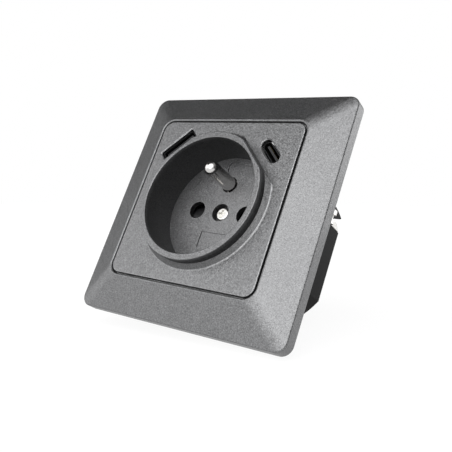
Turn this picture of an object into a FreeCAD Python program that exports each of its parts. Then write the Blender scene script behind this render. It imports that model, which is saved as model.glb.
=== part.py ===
"""Flush wall socket with an earth pin and two charging ports, built as it comes apart on a bench.

X runs to the right and Z up as the socket is seen on the wall, and Y runs into the wall. The
origin is the centre of the cover frame on the wall's surface, so the front faces -Y and the
housing lies in the wall box at +Y. All sizes are millimetres.
"""
import FreeCAD, Part
import math
import os

V = FreeCAD.Vector
DEPTH = V(0, 1, 0)
UP = V(0, 0, 1)

# Cover frame: a square bevelled moulding round a square window
FRAME_SIZE = 80.0
FRAME_CORNER = 3.6
FRAME_EDGE = 4.0
FRAME_DEPTH = 9.0
FRAME_WALL = 1.8
FRAME_ROUND = 0.6
FRAME_LIP_ROUND = 0.5
FRAME_RIB_WALL = 1.2
FRAME_RIB_PLACE = 20.0
FRAME_RIB_PLAY = 0.3
WINDOW_CORNER = 3.8

# Centre plate with the raised collar and the round well
PLATE_GAP = 0.5
PLATE_SUNK = 0.2
PLATE_WALL = 2.0
PLATE_ROUND = 0.35
PLATE_MARGIN = 1.5
PLATE_RIB_WALL = 1.0
FLANGE_OVERLAP = 1.7
FLANGE_WALL = 1.2
FLANGE_PLAY = 0.2
WELL_RADIUS = 19.8
WELL_DEPTH = 14.0
COLLAR_WALL = 2.0
COLLAR_HEIGHT = 4.4
COLLAR_ROUND = 0.25
SKIRT_WIDTH = 1.75
SKIRT_RISE = 1.2
SKIRT_FOOT = 0.35
FLAT_WALL = 1.0
FLOOR_WALL = 2.0
FOOT_SIZE = 3.6
FOOT_MARGIN = 1.4

# Two shallow fields sunk in the well's floor and left bare
MARK_HALF_WIDTH = 4.75
MARK_HALF_HEIGHT = 2.75
MARK_PLACE = 9.95
MARK_DISC_RADIUS = 2.9
MARK_DISC_PLACE = 16.2
MARK_DEPTH = 0.3

# Plug: two round pins at the common spacing, and the earth pin that stands between them
PIN_SPACING = 19.0
PLUG_PIN_RADIUS = 2.4
PLUG_PIN_LENGTH = 19.0
PIN_TIP_ROOM = 1.2
ENTRY_RADIUS = 3.0
DECK_HOLE_PLAY = 0.6

# Earth pin, riveted to its strap behind the deck
EARTH_OFFSET = 10.0
EARTH_RADIUS = 2.4
EARTH_REACH = 13.6
EARTH_BASE_STEP = 0.3
EARTH_NECK_STEP = 0.3
EARTH_GAP = 0.45
EARTH_SEAT_PLAY = 0.05
SHOULDER_WALL = 1.2
SHOULDER_PLAY = 0.6
RIVET_RADIUS = 1.6
RIVET_HEAD = 0.6

# Sprung contacts and their straps
LEAF_WALL = 0.7
LEAF_WIDTH = 6.0
LEAF_PINCH = 0.3
LEAF_FLARE = 0.8
LEAF_STRAIGHT = 2.5
BRIDGE_MARGIN = 1.5
BRIDGE_HOLE_PLAY = 0.3
CONTACT_FRONT_ROOM = 0.5
CONTACT_BACK_ROOM = 2.0
STRAP_WALL = 0.8
STRAP_WIDTH = 3.0
TAIL_WIDTH = 1.2
EARTH_STRAP_ROOM = 2.0

# Charging ports, set on the diagonals beside the collar
PORT_ANGLE = 45.0
PORT_A_MARGIN = 2.45
PORT_A_LONG = 13.1
PORT_A_SHORT = 5.7
PORT_A_CORNER = 0.6
PORT_C_MARGIN = 3.0
PORT_C_LONG = 9.0
PORT_C_SHORT = 3.2
PORT_SLOT_PLAY = 0.3
PORT_SHELL_WALL = 0.3
PORT_SETBACK = 1.2
PORT_BEVEL = 0.35
TONGUE_SETBACK = 0.6
TONGUE_CORNER = 0.2
TONGUE_A_SIDE = 1.0
TONGUE_A_WALL = 1.8
TONGUE_A_OFFSET = 1.0
TONGUE_C_SIDE = 1.15
TONGUE_C_WALL = 0.7

# Screw that holds the centre plate
COVER_SCREW_RADIUS = 1.5
COVER_HEAD_RADIUS = 2.3
COVER_HEAD_HEIGHT = 1.8
COVER_HEAD_SUNK = 1.0
COVER_RECESS_PLAY = 0.8
SEAT_MARGIN = 1.2
SEAT_PLAY = 0.2
POST_MARGIN = 2.1
POST_END_ROOM = 1.4
SLOT_WIDTH = 0.8
SLOT_SHARE = 0.6
SLOT_DEPTH = 0.9
SCREW_PLAY = 0.15

# Steel support frame, screwed to the wall box
SUPPORT_MARGIN = 2.7
SUPPORT_CORNER = 5.0
SUPPORT_WALL = 1.2
SUPPORT_PLAY = 0.4
BOX_SPACING = 60.0
BOX_HOLE_RADIUS = 1.9
BOX_SLOT_LENGTH = 9.0
LUG_WIDTH = 12.0
LUG_REACH = 8.6
LUG_WINDOW_WIDTH = 6.0
LUG_WINDOW_LENGTH = 3.0
LUG_WINDOW_PLAY = 0.2
TAB_MARGIN = 0.4
TAB_CHAMFER = 2.2

# Housing that goes in the wall box
HOUSING_MARGIN = 0.3
HOUSING_WALL = 1.8
HOUSING_GAP = 0.2
POCKET_PLAY = 0.3
DECK_WALL = 1.8
COMPONENT_ROOM = 2.0
BACK_ROUND = 1.2
RIB_WALL = 1.0
RIB_GAP = 0.7
RIB_TOP = 14.0
RIB_TERMINAL_GAP = 2.6
BOSS_MARGIN = 3.4
BOSS_RADIUS = 2.6
BOSS_STEP = 0.5
CASE_SCREW_RADIUS = 1.2
CASE_HEAD_RADIUS = 2.1
CASE_HEAD_HEIGHT = 1.5
CASE_HEAD_SUNK = 0.6
CASE_SCREW_LENGTH = 16.0
VENT_COUNT = 7
VENT_PITCH = 3.2
VENT_WIDTH = 1.2
VENT_LENGTH = 9.0
VENT_PLACE = 13.0

# Shutter behind the well's floor
SHUTTER_WALL = 3.2
SHUTTER_PLAY = 0.3
SHUTTER_MARGIN = 1.3
SHUTTER_COVER = 0.5
SHUTTER_SLOT_PLAY = 1.4
SHUTTER_BRIDGE_GAP = 1.7
SHUTTER_BRIDGE = 3.7
SHUTTER_RAMP_RISE = 4.6
SHUTTER_RAMP_RUN = 2.8
SHUTTER_TRAVEL = 6.5
GUIDE_WALL = 1.0
SPRING_RADIUS = 1.1
SPRING_WIRE = 0.22
SPRING_TURNS = 7
SPRING_SEAT_PLAY = 0.1
PEG_LENGTH = 1.6
PEG_PLAY = 0.16

# Screw terminals
TERMINAL_SIZE = 8.0
TERMINAL_CHAMFER = 0.5
TERMINAL_FRONT_ROOM = 1.7
TERMINAL_BACK_ROOM = 0.3
TERMINAL_BOSS_GAP = 0.78
TERMINAL_PLAY = 0.3
TERMINAL_FRONT_WALL = 1.0
WIRE_RADIUS = 1.7
WIRE_RAISE = 0.6
TERMINAL_SCREW_RADIUS = 1.6
TERMINAL_SCREW_PROUD = 0.25
DRIVER_HOLE_RADIUS = 2.3
TUNNEL_BORE = 2.1
TUNNEL_WALL = 1.0
FUNNEL_DEPTH = 1.2
FUNNEL_STEP = 1.3

# Claws that spread against the wall box
CLAW_PLACE = 12.8
CLAW_ROOM = 1.83
CLAW_WIDTH = 5.0
CLAW_WALL = 1.2
CLAW_PLAY = 0.25
CLAW_START = 0.35
CLAW_TOOTH = 0.9
CLAW_TOOTH_SLOPE = 2.8
CLAW_TOOTH_TIP = 0.8
CLAW_TOE_WIDTH = 2.0
CLAW_TOE_LENGTH = 6.2
CLAW_TOE_SLOPE = 2.6
CLAW_FOOT_RISE = 4.9
CLAW_FOOT_GAP = 1.0
CLAW_FOOT_INSET = 0.4
CLAW_BELOW_FOOT = 2.1
CLAW_NOTCH_GAP = 0.6
CLAW_SCREW_GAP = 0.3
CLAW_SCREW_RADIUS = 1.4
CLAW_SCREW_END = 19.6
CLAW_HEAD_RADIUS = 2.2
CLAW_HEAD_HEIGHT = 1.8
NOTCH_WALL = 1.2

# Circuit boards and their largest components
BOARD_WALL = 1.2
BOARD_PLAY = 0.5
PORT_BOARD_GAP = 0.2
PORT_BOARD_INNER_GAP = 0.6
PORT_BOARD_OUTER_GAP = 0.3
PORT_BOARD_SCREW_GAP = 0.4
POWER_BOARD_GAP = 2.7
TAIL_PLACE = 3.6
HEADER_PINS = 4
HEADER_PITCH = 1.5
HEADER_PIN = 0.6
HEADER_BODY = 2.2
HEADER_HEIGHT = 1.6
HEADER_INSET = 0.9
HEADER_PLAY = 0.3
CORE_X = 2.0
CORE_Z = 4.0
CORE_WIDTH = 15.0
CORE_DEPTH = 9.0
CORE_HEIGHT = 12.5
CORE_LEG = 2.6
WINDING_RADIUS = 4.0
CHEEK_WALL = 0.8
INPUT_CAP_RADIUS = 3.9
INPUT_CAP_LENGTH = 13.0
INPUT_CAP_GAP = 1.6
INPUT_CAP_START = -7.0
OUTPUT_CAP_RADIUS = 3.0
OUTPUT_CAP_LENGTH = 9.0
OUTPUT_CAP_GAP = 3.25
OUTPUT_CAP_INSET = 4.0
CAP_ROUND = 0.4
CAP_GROOVE = 0.25
CAP_GROOVE_PLACE = 2.0

# Where the ports lie, and the plate and housing that they need
PORT_COS = math.cos(math.radians(PORT_ANGLE))
PORT_SIN = math.sin(math.radians(PORT_ANGLE))
COLLAR_RADIUS = WELL_RADIUS + COLLAR_WALL
SKIRT_RADIUS = COLLAR_RADIUS + SKIRT_WIDTH
FLAT_PLACE = WELL_RADIUS + FLAT_WALL
PORT_A_REACH = FLAT_PLACE + PORT_A_MARGIN + PORT_A_SHORT / 2
PORT_C_REACH = FLAT_PLACE + PORT_C_MARGIN + PORT_C_SHORT / 2
PORT_A_OUTER = PORT_A_REACH + PORT_A_SHORT / 2
PORT_A_SIDE = PORT_A_OUTER * PORT_COS + PORT_A_LONG / 2 * PORT_SIN
PLATE_HALF = PORT_A_SIDE + PLATE_MARGIN + FLANGE_WALL
WINDOW_HALF = PLATE_HALF + PLATE_GAP
PLATE_CORNER = WINDOW_CORNER - PLATE_GAP
HOUSING_FLAT = PORT_A_SIDE + HOUSING_MARGIN
HOUSING_RADIUS = math.hypot(PORT_A_OUTER, PORT_A_LONG / 2) - HOUSING_MARGIN
HOUSING_INNER_FLAT = HOUSING_FLAT - HOUSING_WALL
HOUSING_INNER_RADIUS = HOUSING_RADIUS - HOUSING_WALL

# Depths from the rim of the collar back to the rear of the housing
PLATE_FRONT = -(FRAME_DEPTH - PLATE_SUNK)
PLATE_BACK = PLATE_FRONT + PLATE_WALL
RIM = PLATE_FRONT - COLLAR_HEIGHT
FLOOR = RIM + WELL_DEPTH
FLOOR_BACK = FLOOR + FLOOR_WALL
FLANGE_FRONT = -(FRAME_DEPTH - FRAME_WALL) + FLANGE_PLAY
FLANGE_BACK = FLANGE_FRONT + FLANGE_WALL
SUPPORT_FRONT = -SUPPORT_WALL
BASE_FRONT = FLOOR_BACK + HOUSING_GAP
SHUTTER_FRONT = FLOOR_BACK + SHUTTER_PLAY
SHUTTER_BACK = SHUTTER_FRONT + SHUTTER_WALL
POCKET_FLOOR = SHUTTER_BACK + SHUTTER_PLAY
DECK_BACK = POCKET_FLOOR + DECK_WALL
BASE_BACK = FLOOR + PLUG_PIN_LENGTH + PIN_TIP_ROOM
CONTACT_FRONT = DECK_BACK + CONTACT_FRONT_ROOM
CONTACT_BACK = BASE_BACK - CONTACT_BACK_ROOM
BRIDGE_FRONT = CONTACT_BACK - STRAP_WALL
EARTH_STRAP_FRONT = CONTACT_BACK - EARTH_STRAP_ROOM
EARTH_STRAP_BACK = EARTH_STRAP_FRONT + STRAP_WALL
POST_END = EARTH_STRAP_FRONT - POST_END_ROOM
HEAD_TOP = FLOOR + COVER_HEAD_SUNK
HEAD_SEAT = HEAD_TOP + COVER_HEAD_HEIGHT
SEAT_BACK = POCKET_FLOOR - SEAT_PLAY
TERMINAL_FRONT = DECK_BACK + TERMINAL_FRONT_ROOM
TERMINAL_BACK = CONTACT_BACK - TERMINAL_BACK_ROOM
TERMINAL_MIDDLE = (TERMINAL_FRONT + TERMINAL_BACK) / 2
PORT_BOARD_BACK = BASE_FRONT - PORT_BOARD_GAP
PORT_BOARD_FRONT = PORT_BOARD_BACK - BOARD_WALL
POWER_BOARD_BACK = BASE_BACK + BOARD_WALL
HOUSING_INNER_BACK = POWER_BOARD_BACK + CORE_DEPTH + COMPONENT_ROOM
HOUSING_BACK = HOUSING_INNER_BACK + HOUSING_WALL
CASE_SEAT = HOUSING_BACK - CASE_HEAD_HEIGHT - CASE_HEAD_SUNK

# Places across the wall
ENTRY_X = PIN_SPACING / 2
EARTH_BASE_RADIUS = EARTH_RADIUS + EARTH_BASE_STEP
CONTACT_ROOT = PLUG_PIN_RADIUS + BRIDGE_HOLE_PLAY
CONTACT_HALF = CONTACT_ROOT + LEAF_WALL
RIB_PLACE = ENTRY_X - CONTACT_HALF - RIB_GAP - RIB_WALL
SHOULDER_RADIUS = RIB_PLACE - SHOULDER_PLAY
RECESS_RADIUS = COVER_HEAD_RADIUS + COVER_RECESS_PLAY
SEAT_RADIUS = RECESS_RADIUS + SEAT_MARGIN
POST_RADIUS = COVER_SCREW_RADIUS + POST_MARGIN
POCKET_RADIUS = COLLAR_RADIUS + POCKET_PLAY
SUPPORT_HALF = FRAME_SIZE / 2 - FRAME_WALL - SUPPORT_MARGIN
LUG_LENGTH = BASE_FRONT + LUG_REACH
LUG_WINDOW_MIDDLE = LUG_LENGTH - LUG_WINDOW_LENGTH
BOSS_PLACE = (HOUSING_RADIUS - BOSS_MARGIN) / math.sqrt(2)
TERMINAL_PITCH = BOSS_PLACE - BOSS_RADIUS - TERMINAL_BOSS_GAP - TERMINAL_SIZE / 2
TERMINAL_OUTER = TERMINAL_PITCH + TERMINAL_SIZE / 2
TERMINAL_REACH = min(HOUSING_INNER_FLAT, math.sqrt(HOUSING_INNER_RADIUS**2 - TERMINAL_OUTER**2))
TERMINAL_BOTTOM = -(TERMINAL_REACH - TERMINAL_PLAY)
TERMINAL_TOP = TERMINAL_BOTTOM + TERMINAL_SIZE
TERMINAL_Z = TERMINAL_BOTTOM + TERMINAL_SIZE / 2 + WIRE_RAISE
TERMINAL_STEPS = (-1, 0, 1)
TUNNEL_RADIUS = TUNNEL_BORE + TUNNEL_WALL
POWER_BOARD_BOTTOM = TERMINAL_Z + TUNNEL_RADIUS + POWER_BOARD_GAP
SHUTTER_HALF_WIDTH = ENTRY_X + ENTRY_RADIUS + SHUTTER_MARGIN
SHUTTER_SLOT = SEAT_RADIUS + SHUTTER_SLOT_PLAY
SHUTTER_TOP = ENTRY_RADIUS + SHUTTER_COVER
SHUTTER_BRIDGE_TOP = -(SEAT_RADIUS + SHUTTER_BRIDGE_GAP)
SHUTTER_BOTTOM = SHUTTER_BRIDGE_TOP - SHUTTER_BRIDGE
SPRING_END = -(POCKET_RADIUS - SPRING_SEAT_PLAY)
SPRING_Y = SHUTTER_FRONT + SHUTTER_WALL / 2
CLAW_REACH = COLLAR_RADIUS + CLAW_HEAD_RADIUS + CLAW_ROOM
CLAW_SCREW_PLACE = math.sqrt(CLAW_REACH**2 - CLAW_PLACE**2)
CLAW_INNER = CLAW_SCREW_PLACE + CLAW_SCREW_RADIUS + CLAW_SCREW_GAP
CLAW_OUTER = CLAW_INNER + CLAW_WALL
CLAW_NOTCH_INNER = CLAW_SCREW_PLACE - CLAW_SCREW_RADIUS - CLAW_NOTCH_GAP
CLAW_NOTCH_HALF = CLAW_WIDTH / 2 + CLAW_PLAY
CLAW_FOOT_FRONT = CLAW_SCREW_END + CLAW_FOOT_GAP
CLAW_FOOT_BACK = CLAW_FOOT_FRONT + CLAW_FOOT_RISE
CLAW_FOOT_INNER = CLAW_NOTCH_INNER + CLAW_FOOT_GAP
CLAW_END = CLAW_FOOT_BACK + CLAW_BELOW_FOOT
CLAW_TOE_END = CLAW_END + CLAW_TOE_LENGTH
HEADER_REACH = PORT_A_REACH - HEADER_INSET
CORE_LOW = CORE_Z - CORE_HEIGHT / 2
CORE_HIGH = CORE_Z + CORE_HEIGHT / 2
INPUT_CAP_X = CORE_X - CORE_WIDTH / 2 - INPUT_CAP_GAP - INPUT_CAP_RADIUS
OUTPUT_CAP_Z = CORE_HIGH + OUTPUT_CAP_GAP + OUTPUT_CAP_RADIUS


def box(x, y, z):
    """A block between the two ends given for each axis."""
    solid = Part.makeBox(x[1] - x[0], y[1] - y[0], z[1] - z[0])
    solid.translate(V(x[0], y[0], z[0]))
    return solid


def middle_box(x, half_x, y, z, half_z):
    """A block given by its middle and half widths across the wall, and its two depths."""
    return box((x - half_x, x + half_x), y, (z - half_z, z + half_z))


def rod(radius, front, back, x=0.0, z=0.0):
    """A round bar along Y."""
    return Part.makeCylinder(radius, back - front, V(x, front, z), DEPTH)


def cone(front_radius, back_radius, front, back, x=0.0, z=0.0):
    """A taper along Y."""
    return Part.makeCone(front_radius, back_radius, back - front, V(x, front, z), DEPTH)


def turned(radius, angle):
    """A vector of one length in the XZ plane, its angle counted from +X towards +Z."""
    return V(radius * math.cos(math.radians(angle)), 0, radius * math.sin(math.radians(angle)))


def rounded(half_x, half_z, corner, y):
    """A closed rectangle with round corners, at one depth."""
    arcs = []
    for side_x, side_z, start in ((1, 1, 0), (-1, 1, 90), (-1, -1, 180), (1, -1, 270)):
        centre = V(side_x * (half_x - corner), y, side_z * (half_z - corner))
        arcs.append([centre + turned(corner, start + part) for part in (0, 45, 90)])
    edges = []
    for here, there in zip(arcs, arcs[1:] + arcs[:1]):
        edges.append(Part.Arc(*here).toShape())
        edges.append(Part.makeLine(here[-1], there[0]))
    return Part.Wire(edges)


def square(half, corner, front, back):
    """A square block with round corners along Y."""
    return prism(rounded(half, half, corner, front), back - front)


def prism(wire, length):
    """A wire's area carried along Y."""
    return Part.Face(wire).extrude(DEPTH * length)


def polygon(points, depth_y=None, rise_z=None):
    """A prism on a closed outline: points are (x, z) carried along Y, or (x, y) carried along Z."""
    if depth_y:
        corners = [V(x, depth_y[0], z) for x, z in points]
        way = DEPTH * (depth_y[1] - depth_y[0])
    else:
        corners = [V(x, y, rise_z[0]) for x, y in points]
        way = UP * (rise_z[1] - rise_z[0])
    return Part.Face(Part.makePolygon(corners + corners[:1])).extrude(way)


def spin(solid, angle):
    """The solid turned about the socket's own axis, from +X towards +Z."""
    return solid.rotated(V(0, 0, 0), DEPTH, -angle)


def one(shape):
    """The single solid of a boolean's result, with its leftover seams removed."""
    clean = shape.removeSplitter()
    return clean.Solids[0] if len(clean.Solids) == 1 else clean


def edges_at(shape, y):
    """The edges that lie flat at one depth."""
    return [e for e in shape.Edges if abs(e.BoundBox.YMin - y) < 1e-6 and e.BoundBox.YLength < 1e-6]


def past(front, back):
    """The same two depths, moved apart so that a cut runs clear of both faces."""
    return front - 1.0, back + 1.0


def cross_slot(radius, top, depth, x=0.0, z=0.0):
    """The cross that a driver fits, to be cut from a screw's head; depth is negative from behind."""
    ends = sorted((top, top + depth))
    half = SLOT_WIDTH / 2
    return [middle_box(x, radius, ends, z, half), middle_box(x, half, ends, z, radius)]


def housing_outline(y, inset=0.0):
    """The wall-box outline: four flats joined by arcs of one circle."""
    flat = HOUSING_FLAT - inset
    radius = HOUSING_RADIUS - inset
    rise = math.sqrt(radius**2 - flat**2)
    diagonal = radius / math.sqrt(2)
    corners = [V(flat, y, rise), V(diagonal, y, diagonal), V(rise, y, flat), V(-rise, y, flat)]
    edges = []
    for quarter in range(4):
        turn = FreeCAD.Rotation(DEPTH, -90 * quarter)
        start, middle, end, after = [turn.multVec(corner) for corner in corners]
        edges.append(Part.Arc(start, middle, end).toShape())
        edges.append(Part.makeLine(end, after))
    return Part.Wire(edges)


def claw_notches(front, back, margin=0.0):
    """The two side channels that the claws lie in, upper right and lower left."""
    half = CLAW_NOTCH_HALF + margin
    right = box((CLAW_NOTCH_INNER - margin, 2 * HOUSING_RADIUS), (front, back),
                (CLAW_PLACE - half, CLAW_PLACE + half))
    return [right, spin(right, 180)]


def port_block(half_long, half_short, corner, reach, angle, front, back):
    """A block with round corners beside the collar, its long side along the collar."""
    block = prism(rounded(half_long, half_short, corner, front), back - front)
    block.translate(V(0, 0, reach))
    return spin(block, angle - 90)


def port_a(inset, front, back, side_play=0.0):
    """The larger port's outline, upper left."""
    return port_block(PORT_A_LONG / 2 - inset + side_play, PORT_A_SHORT / 2 - inset, PORT_A_CORNER - inset,
                      PORT_A_REACH, 180 - PORT_ANGLE, front, back)


def port_c(inset, front, back):
    """The smaller port's outline with its full round ends, upper right."""
    half_short = PORT_C_SHORT / 2 - inset
    return port_block(PORT_C_LONG / 2 - inset, half_short, half_short - 0.01,
                      PORT_C_REACH, PORT_ANGLE, front, back)


def port_bevels():
    """The sloped edge round each port's window, to be cut from the plate's face."""
    bevels = []
    for long, short, corner, reach, angle in (
            (PORT_A_LONG / 2 + PORT_SLOT_PLAY, PORT_A_SHORT / 2, PORT_A_CORNER, PORT_A_REACH, 90 - PORT_ANGLE),
            (PORT_C_LONG / 2 + PORT_SLOT_PLAY, PORT_C_SHORT / 2 + PORT_SLOT_PLAY,
             PORT_C_SHORT / 2 + PORT_SLOT_PLAY - 0.01, PORT_C_REACH, PORT_ANGLE - 90)):
        outlines = [rounded(long + step, short + step, corner + step, PLATE_FRONT + PORT_BEVEL - step)
                    for step in (0.0, 2 * PORT_BEVEL)]
        bevel = Part.makeLoft(outlines, True, True)
        bevel.translate(V(0, 0, reach))
        bevels.append(spin(bevel, angle))
    return bevels


def cover_frame():
    """A thin bevelled shell; short ribs inside its walls centre it on the support frame."""
    half = FRAME_SIZE / 2
    inside = half - FRAME_WALL
    corner = FRAME_CORNER - FRAME_WALL
    bend = -FRAME_EDGE + FRAME_WALL
    lip = WINDOW_HALF + FLANGE_OVERLAP + PLATE_GAP
    side = square(half, FRAME_CORNER, -FRAME_EDGE, 0)
    bevel = Part.makeLoft([rounded(half, half, FRAME_CORNER, -FRAME_EDGE),
                           rounded(WINDOW_HALF, WINDOW_HALF, WINDOW_CORNER, -FRAME_DEPTH)], True, True)
    outer = side.fuse(bevel).removeSplitter()
    outer = outer.makeFillet(FRAME_ROUND, edges_at(outer, -FRAME_EDGE))
    slope = Part.makeLoft([rounded(inside, inside, corner, bend),
                           rounded(lip, lip, corner, -FRAME_DEPTH + FRAME_WALL)], True, True)
    window = square(WINDOW_HALF, WINDOW_CORNER, *past(-FRAME_DEPTH, 0))
    shell = outer.cut([square(inside, corner, bend, 1.0), slope, window])
    shell = shell.makeFillet(FRAME_LIP_ROUND, edges_at(shell, -FRAME_DEPTH))
    rib_inner = SUPPORT_HALF + FRAME_RIB_PLAY
    ribs = []
    for quarter in range(4):
        for place in (-FRAME_RIB_PLACE, FRAME_RIB_PLACE):
            rib = box((rib_inner, inside + FRAME_WALL / 2), (-FRAME_EDGE, -FRAME_RIB_PLAY),
                      (place - FRAME_RIB_WALL / 2, place + FRAME_RIB_WALL / 2))
            ribs.append(spin(rib, 90 * quarter))
    return one(shell.fuse(ribs))


def flat_cuts(front, back):
    """The blocks that cut the collar flat beside each port."""
    block = box((-FRAME_SIZE, FRAME_SIZE), (front, back), (FLAT_PLACE, FLAT_PLACE + FRAME_SIZE))
    return [spin(block, PORT_ANGLE - 90), spin(block, 90 - PORT_ANGLE)]


def plate_back():
    """What stands behind the plate's face: the side walls, the flange under the frame, ribs and feet."""
    inner = PLATE_HALF - FLANGE_WALL
    parts = [square(PLATE_HALF, PLATE_CORNER, PLATE_BACK, FLANGE_BACK),
             square(WINDOW_HALF + FLANGE_OVERLAP, WINDOW_CORNER, FLANGE_FRONT, FLANGE_BACK)]
    hollow = square(inner, PLATE_CORNER - FLANGE_WALL, *past(PLATE_BACK, FLANGE_BACK))
    parts = [part.cut(hollow) for part in parts]
    place = PLATE_HALF - FOOT_MARGIN - FOOT_SIZE / 2
    for quarter in range(4):
        rib = box((COLLAR_RADIUS - COLLAR_WALL / 2, inner + FLANGE_WALL / 2), (PLATE_BACK, FLANGE_BACK),
                  (-PLATE_RIB_WALL / 2, PLATE_RIB_WALL / 2))
        foot = middle_box(place, FOOT_SIZE / 2, (PLATE_BACK, SUPPORT_FRONT), place, FOOT_SIZE / 2)
        parts += [spin(rib, 90 * quarter), spin(foot, 90 * quarter)]
    return parts


def skirt():
    """The slope round the collar's foot, which runs out into the plate in a small hollow."""
    bend = math.cos(math.atan2(SKIRT_RISE, SKIRT_WIDTH) / 2)
    slope = V(SKIRT_WIDTH, SKIRT_RISE, 0).normalize()
    corner = V(SKIRT_RADIUS, PLATE_FRONT, 0)
    start = corner - slope * SKIRT_FOOT
    end = corner + V(SKIRT_FOOT, 0, 0)
    chord = (start + end) * 0.5
    middle = chord + (corner - chord) * (bend / (1 + bend))
    inside = COLLAR_RADIUS - COLLAR_WALL / 2
    around = [end, V(end.x, PLATE_BACK, 0), V(inside, PLATE_BACK, 0),
              V(inside, PLATE_FRONT - SKIRT_RISE, 0), V(COLLAR_RADIUS, PLATE_FRONT - SKIRT_RISE, 0), start]
    edges = [Part.makeLine(*pair) for pair in zip(around, around[1:])]
    edges.append(Part.Arc(start, middle, end).toShape())
    return Part.Face(Part.Wire(edges)).revolve(V(0, 0, 0), DEPTH, 360)


def centre_plate():
    """Plate, collar and well in one moulding, with a conical skirt round the collar's foot."""
    plate = square(PLATE_HALF, PLATE_CORNER, PLATE_FRONT, PLATE_BACK)
    plate = plate.makeFillet(PLATE_ROUND, edges_at(plate, PLATE_FRONT))
    collar = rod(COLLAR_RADIUS, RIM, PLATE_BACK).fuse(skirt())
    collar = collar.cut(flat_cuts(RIM - 1.0, PLATE_FRONT))
    well = rod(COLLAR_RADIUS, PLATE_BACK, FLOOR_BACK).cut(flat_cuts(*past(PLATE_BACK, FLOOR_BACK)))
    seat = rod(SEAT_RADIUS, FLOOR_BACK, SEAT_BACK)
    body = plate.fuse([collar, well, seat] + plate_back())
    floor = past(FLOOR, FLOOR_BACK)
    slot = past(PLATE_FRONT, PLATE_BACK)
    cuts = [rod(WELL_RADIUS, RIM - 1.0, FLOOR)]
    cuts += [rod(ENTRY_RADIUS, *floor, x) for x in (-ENTRY_X, ENTRY_X)]
    cuts.append(rod(EARTH_RADIUS + EARTH_GAP, *floor, 0, EARTH_OFFSET))
    cuts.append(rod(RECESS_RADIUS, FLOOR - 1.0, HEAD_SEAT))
    cuts.append(rod(COVER_SCREW_RADIUS + SCREW_PLAY, *past(HEAD_SEAT, SEAT_BACK)))
    cuts.append(port_a(0.0, *slot, PORT_SLOT_PLAY))
    cuts.append(port_c(-PORT_SLOT_PLAY, *slot))
    cuts += port_bevels()
    sunk = (FLOOR - 1.0, FLOOR + MARK_DEPTH)
    cuts.append(middle_box(0, MARK_HALF_WIDTH, sunk, -MARK_PLACE, MARK_HALF_HEIGHT))
    cuts.append(rod(MARK_DISC_RADIUS, *sunk, 0, MARK_DISC_PLACE))
    body = one(body.cut(cuts))
    return body.makeFillet(COLLAR_ROUND, edges_at(body, RIM))


def cover_screw():
    tip = COVER_SCREW_RADIUS / 2
    head = rod(COVER_HEAD_RADIUS, HEAD_TOP, HEAD_SEAT)
    head = head.makeFillet(COVER_HEAD_HEIGHT / 3, edges_at(head, HEAD_TOP))
    shank = rod(COVER_SCREW_RADIUS, HEAD_SEAT, POST_END - tip)
    point = cone(COVER_SCREW_RADIUS, tip, POST_END - tip, POST_END)
    slots = cross_slot(COVER_HEAD_RADIUS * SLOT_SHARE, HEAD_TOP, SLOT_DEPTH)
    return one(head.fuse([shank, point]).cut(slots))


def box_holes():
    """Round holes left and right, and slots above and below for levelling."""
    reach = BOX_SPACING / 2
    depths = past(SUPPORT_FRONT, 0)
    cuts = [rod(BOX_HOLE_RADIUS, *depths, x) for x in (-reach, reach)]
    for z in (-reach, reach):
        ends = rounded(BOX_SLOT_LENGTH / 2, BOX_HOLE_RADIUS, BOX_HOLE_RADIUS - 0.01, depths[0])
        slot = prism(ends, depths[1] - depths[0])
        slot.translate(V(0, 0, z))
        cuts.append(slot)
    return cuts


def support_frame():
    """A stamped sheet with two lugs that clip the housing and two tabs that carry the claw screws."""
    depths = (SUPPORT_FRONT, 0)
    sheet = square(SUPPORT_HALF, SUPPORT_CORNER, *depths)
    sheet = sheet.cut(prism(housing_outline(SUPPORT_FRONT, -SUPPORT_PLAY), SUPPORT_WALL))
    inner = HOUSING_FLAT + SUPPORT_PLAY
    lug = box((inner, inner + SUPPORT_WALL), (SUPPORT_FRONT, LUG_LENGTH), (-LUG_WIDTH / 2, LUG_WIDTH / 2))
    window = (LUG_WINDOW_MIDDLE - LUG_WINDOW_LENGTH / 2, LUG_WINDOW_MIDDLE + LUG_WINDOW_LENGTH / 2)
    lug = lug.cut(middle_box(inner, 2 * SUPPORT_WALL, window, 0, LUG_WINDOW_WIDTH / 2))
    end = CLAW_SCREW_PLACE - CLAW_HEAD_RADIUS - TAB_MARGIN
    low, high = CLAW_PLACE - CLAW_NOTCH_HALF, CLAW_PLACE + CLAW_NOTCH_HALF
    root = inner + SUPPORT_WALL
    outline = [(root, low), (end, low), (end, high - TAB_CHAMFER), (end + TAB_CHAMFER, high), (root, high)]
    tab = polygon(outline, depth_y=depths)
    tab = tab.cut(rod(CLAW_SCREW_RADIUS + SCREW_PLAY, *past(*depths), CLAW_SCREW_PLACE, CLAW_PLACE))
    return one(sheet.fuse([lug, spin(lug, 180), tab, spin(tab, 180)]).cut(box_holes()))


def lug_nub():
    """The housing's wedge that snaps into the lug's window."""
    half_long = LUG_WINDOW_LENGTH / 2 - LUG_WINDOW_PLAY
    half_wide = LUG_WINDOW_WIDTH / 2 - LUG_WINDOW_PLAY
    root = HOUSING_FLAT - HOUSING_WALL / 2
    proud = HOUSING_FLAT + SUPPORT_PLAY + SUPPORT_WALL
    near, far = LUG_WINDOW_MIDDLE - half_long, LUG_WINDOW_MIDDLE + half_long
    outline = [(root, near), (HOUSING_FLAT, near), (proud, far), (root, far)]
    return polygon(outline, rise_z=(-half_wide, half_wide))


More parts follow.
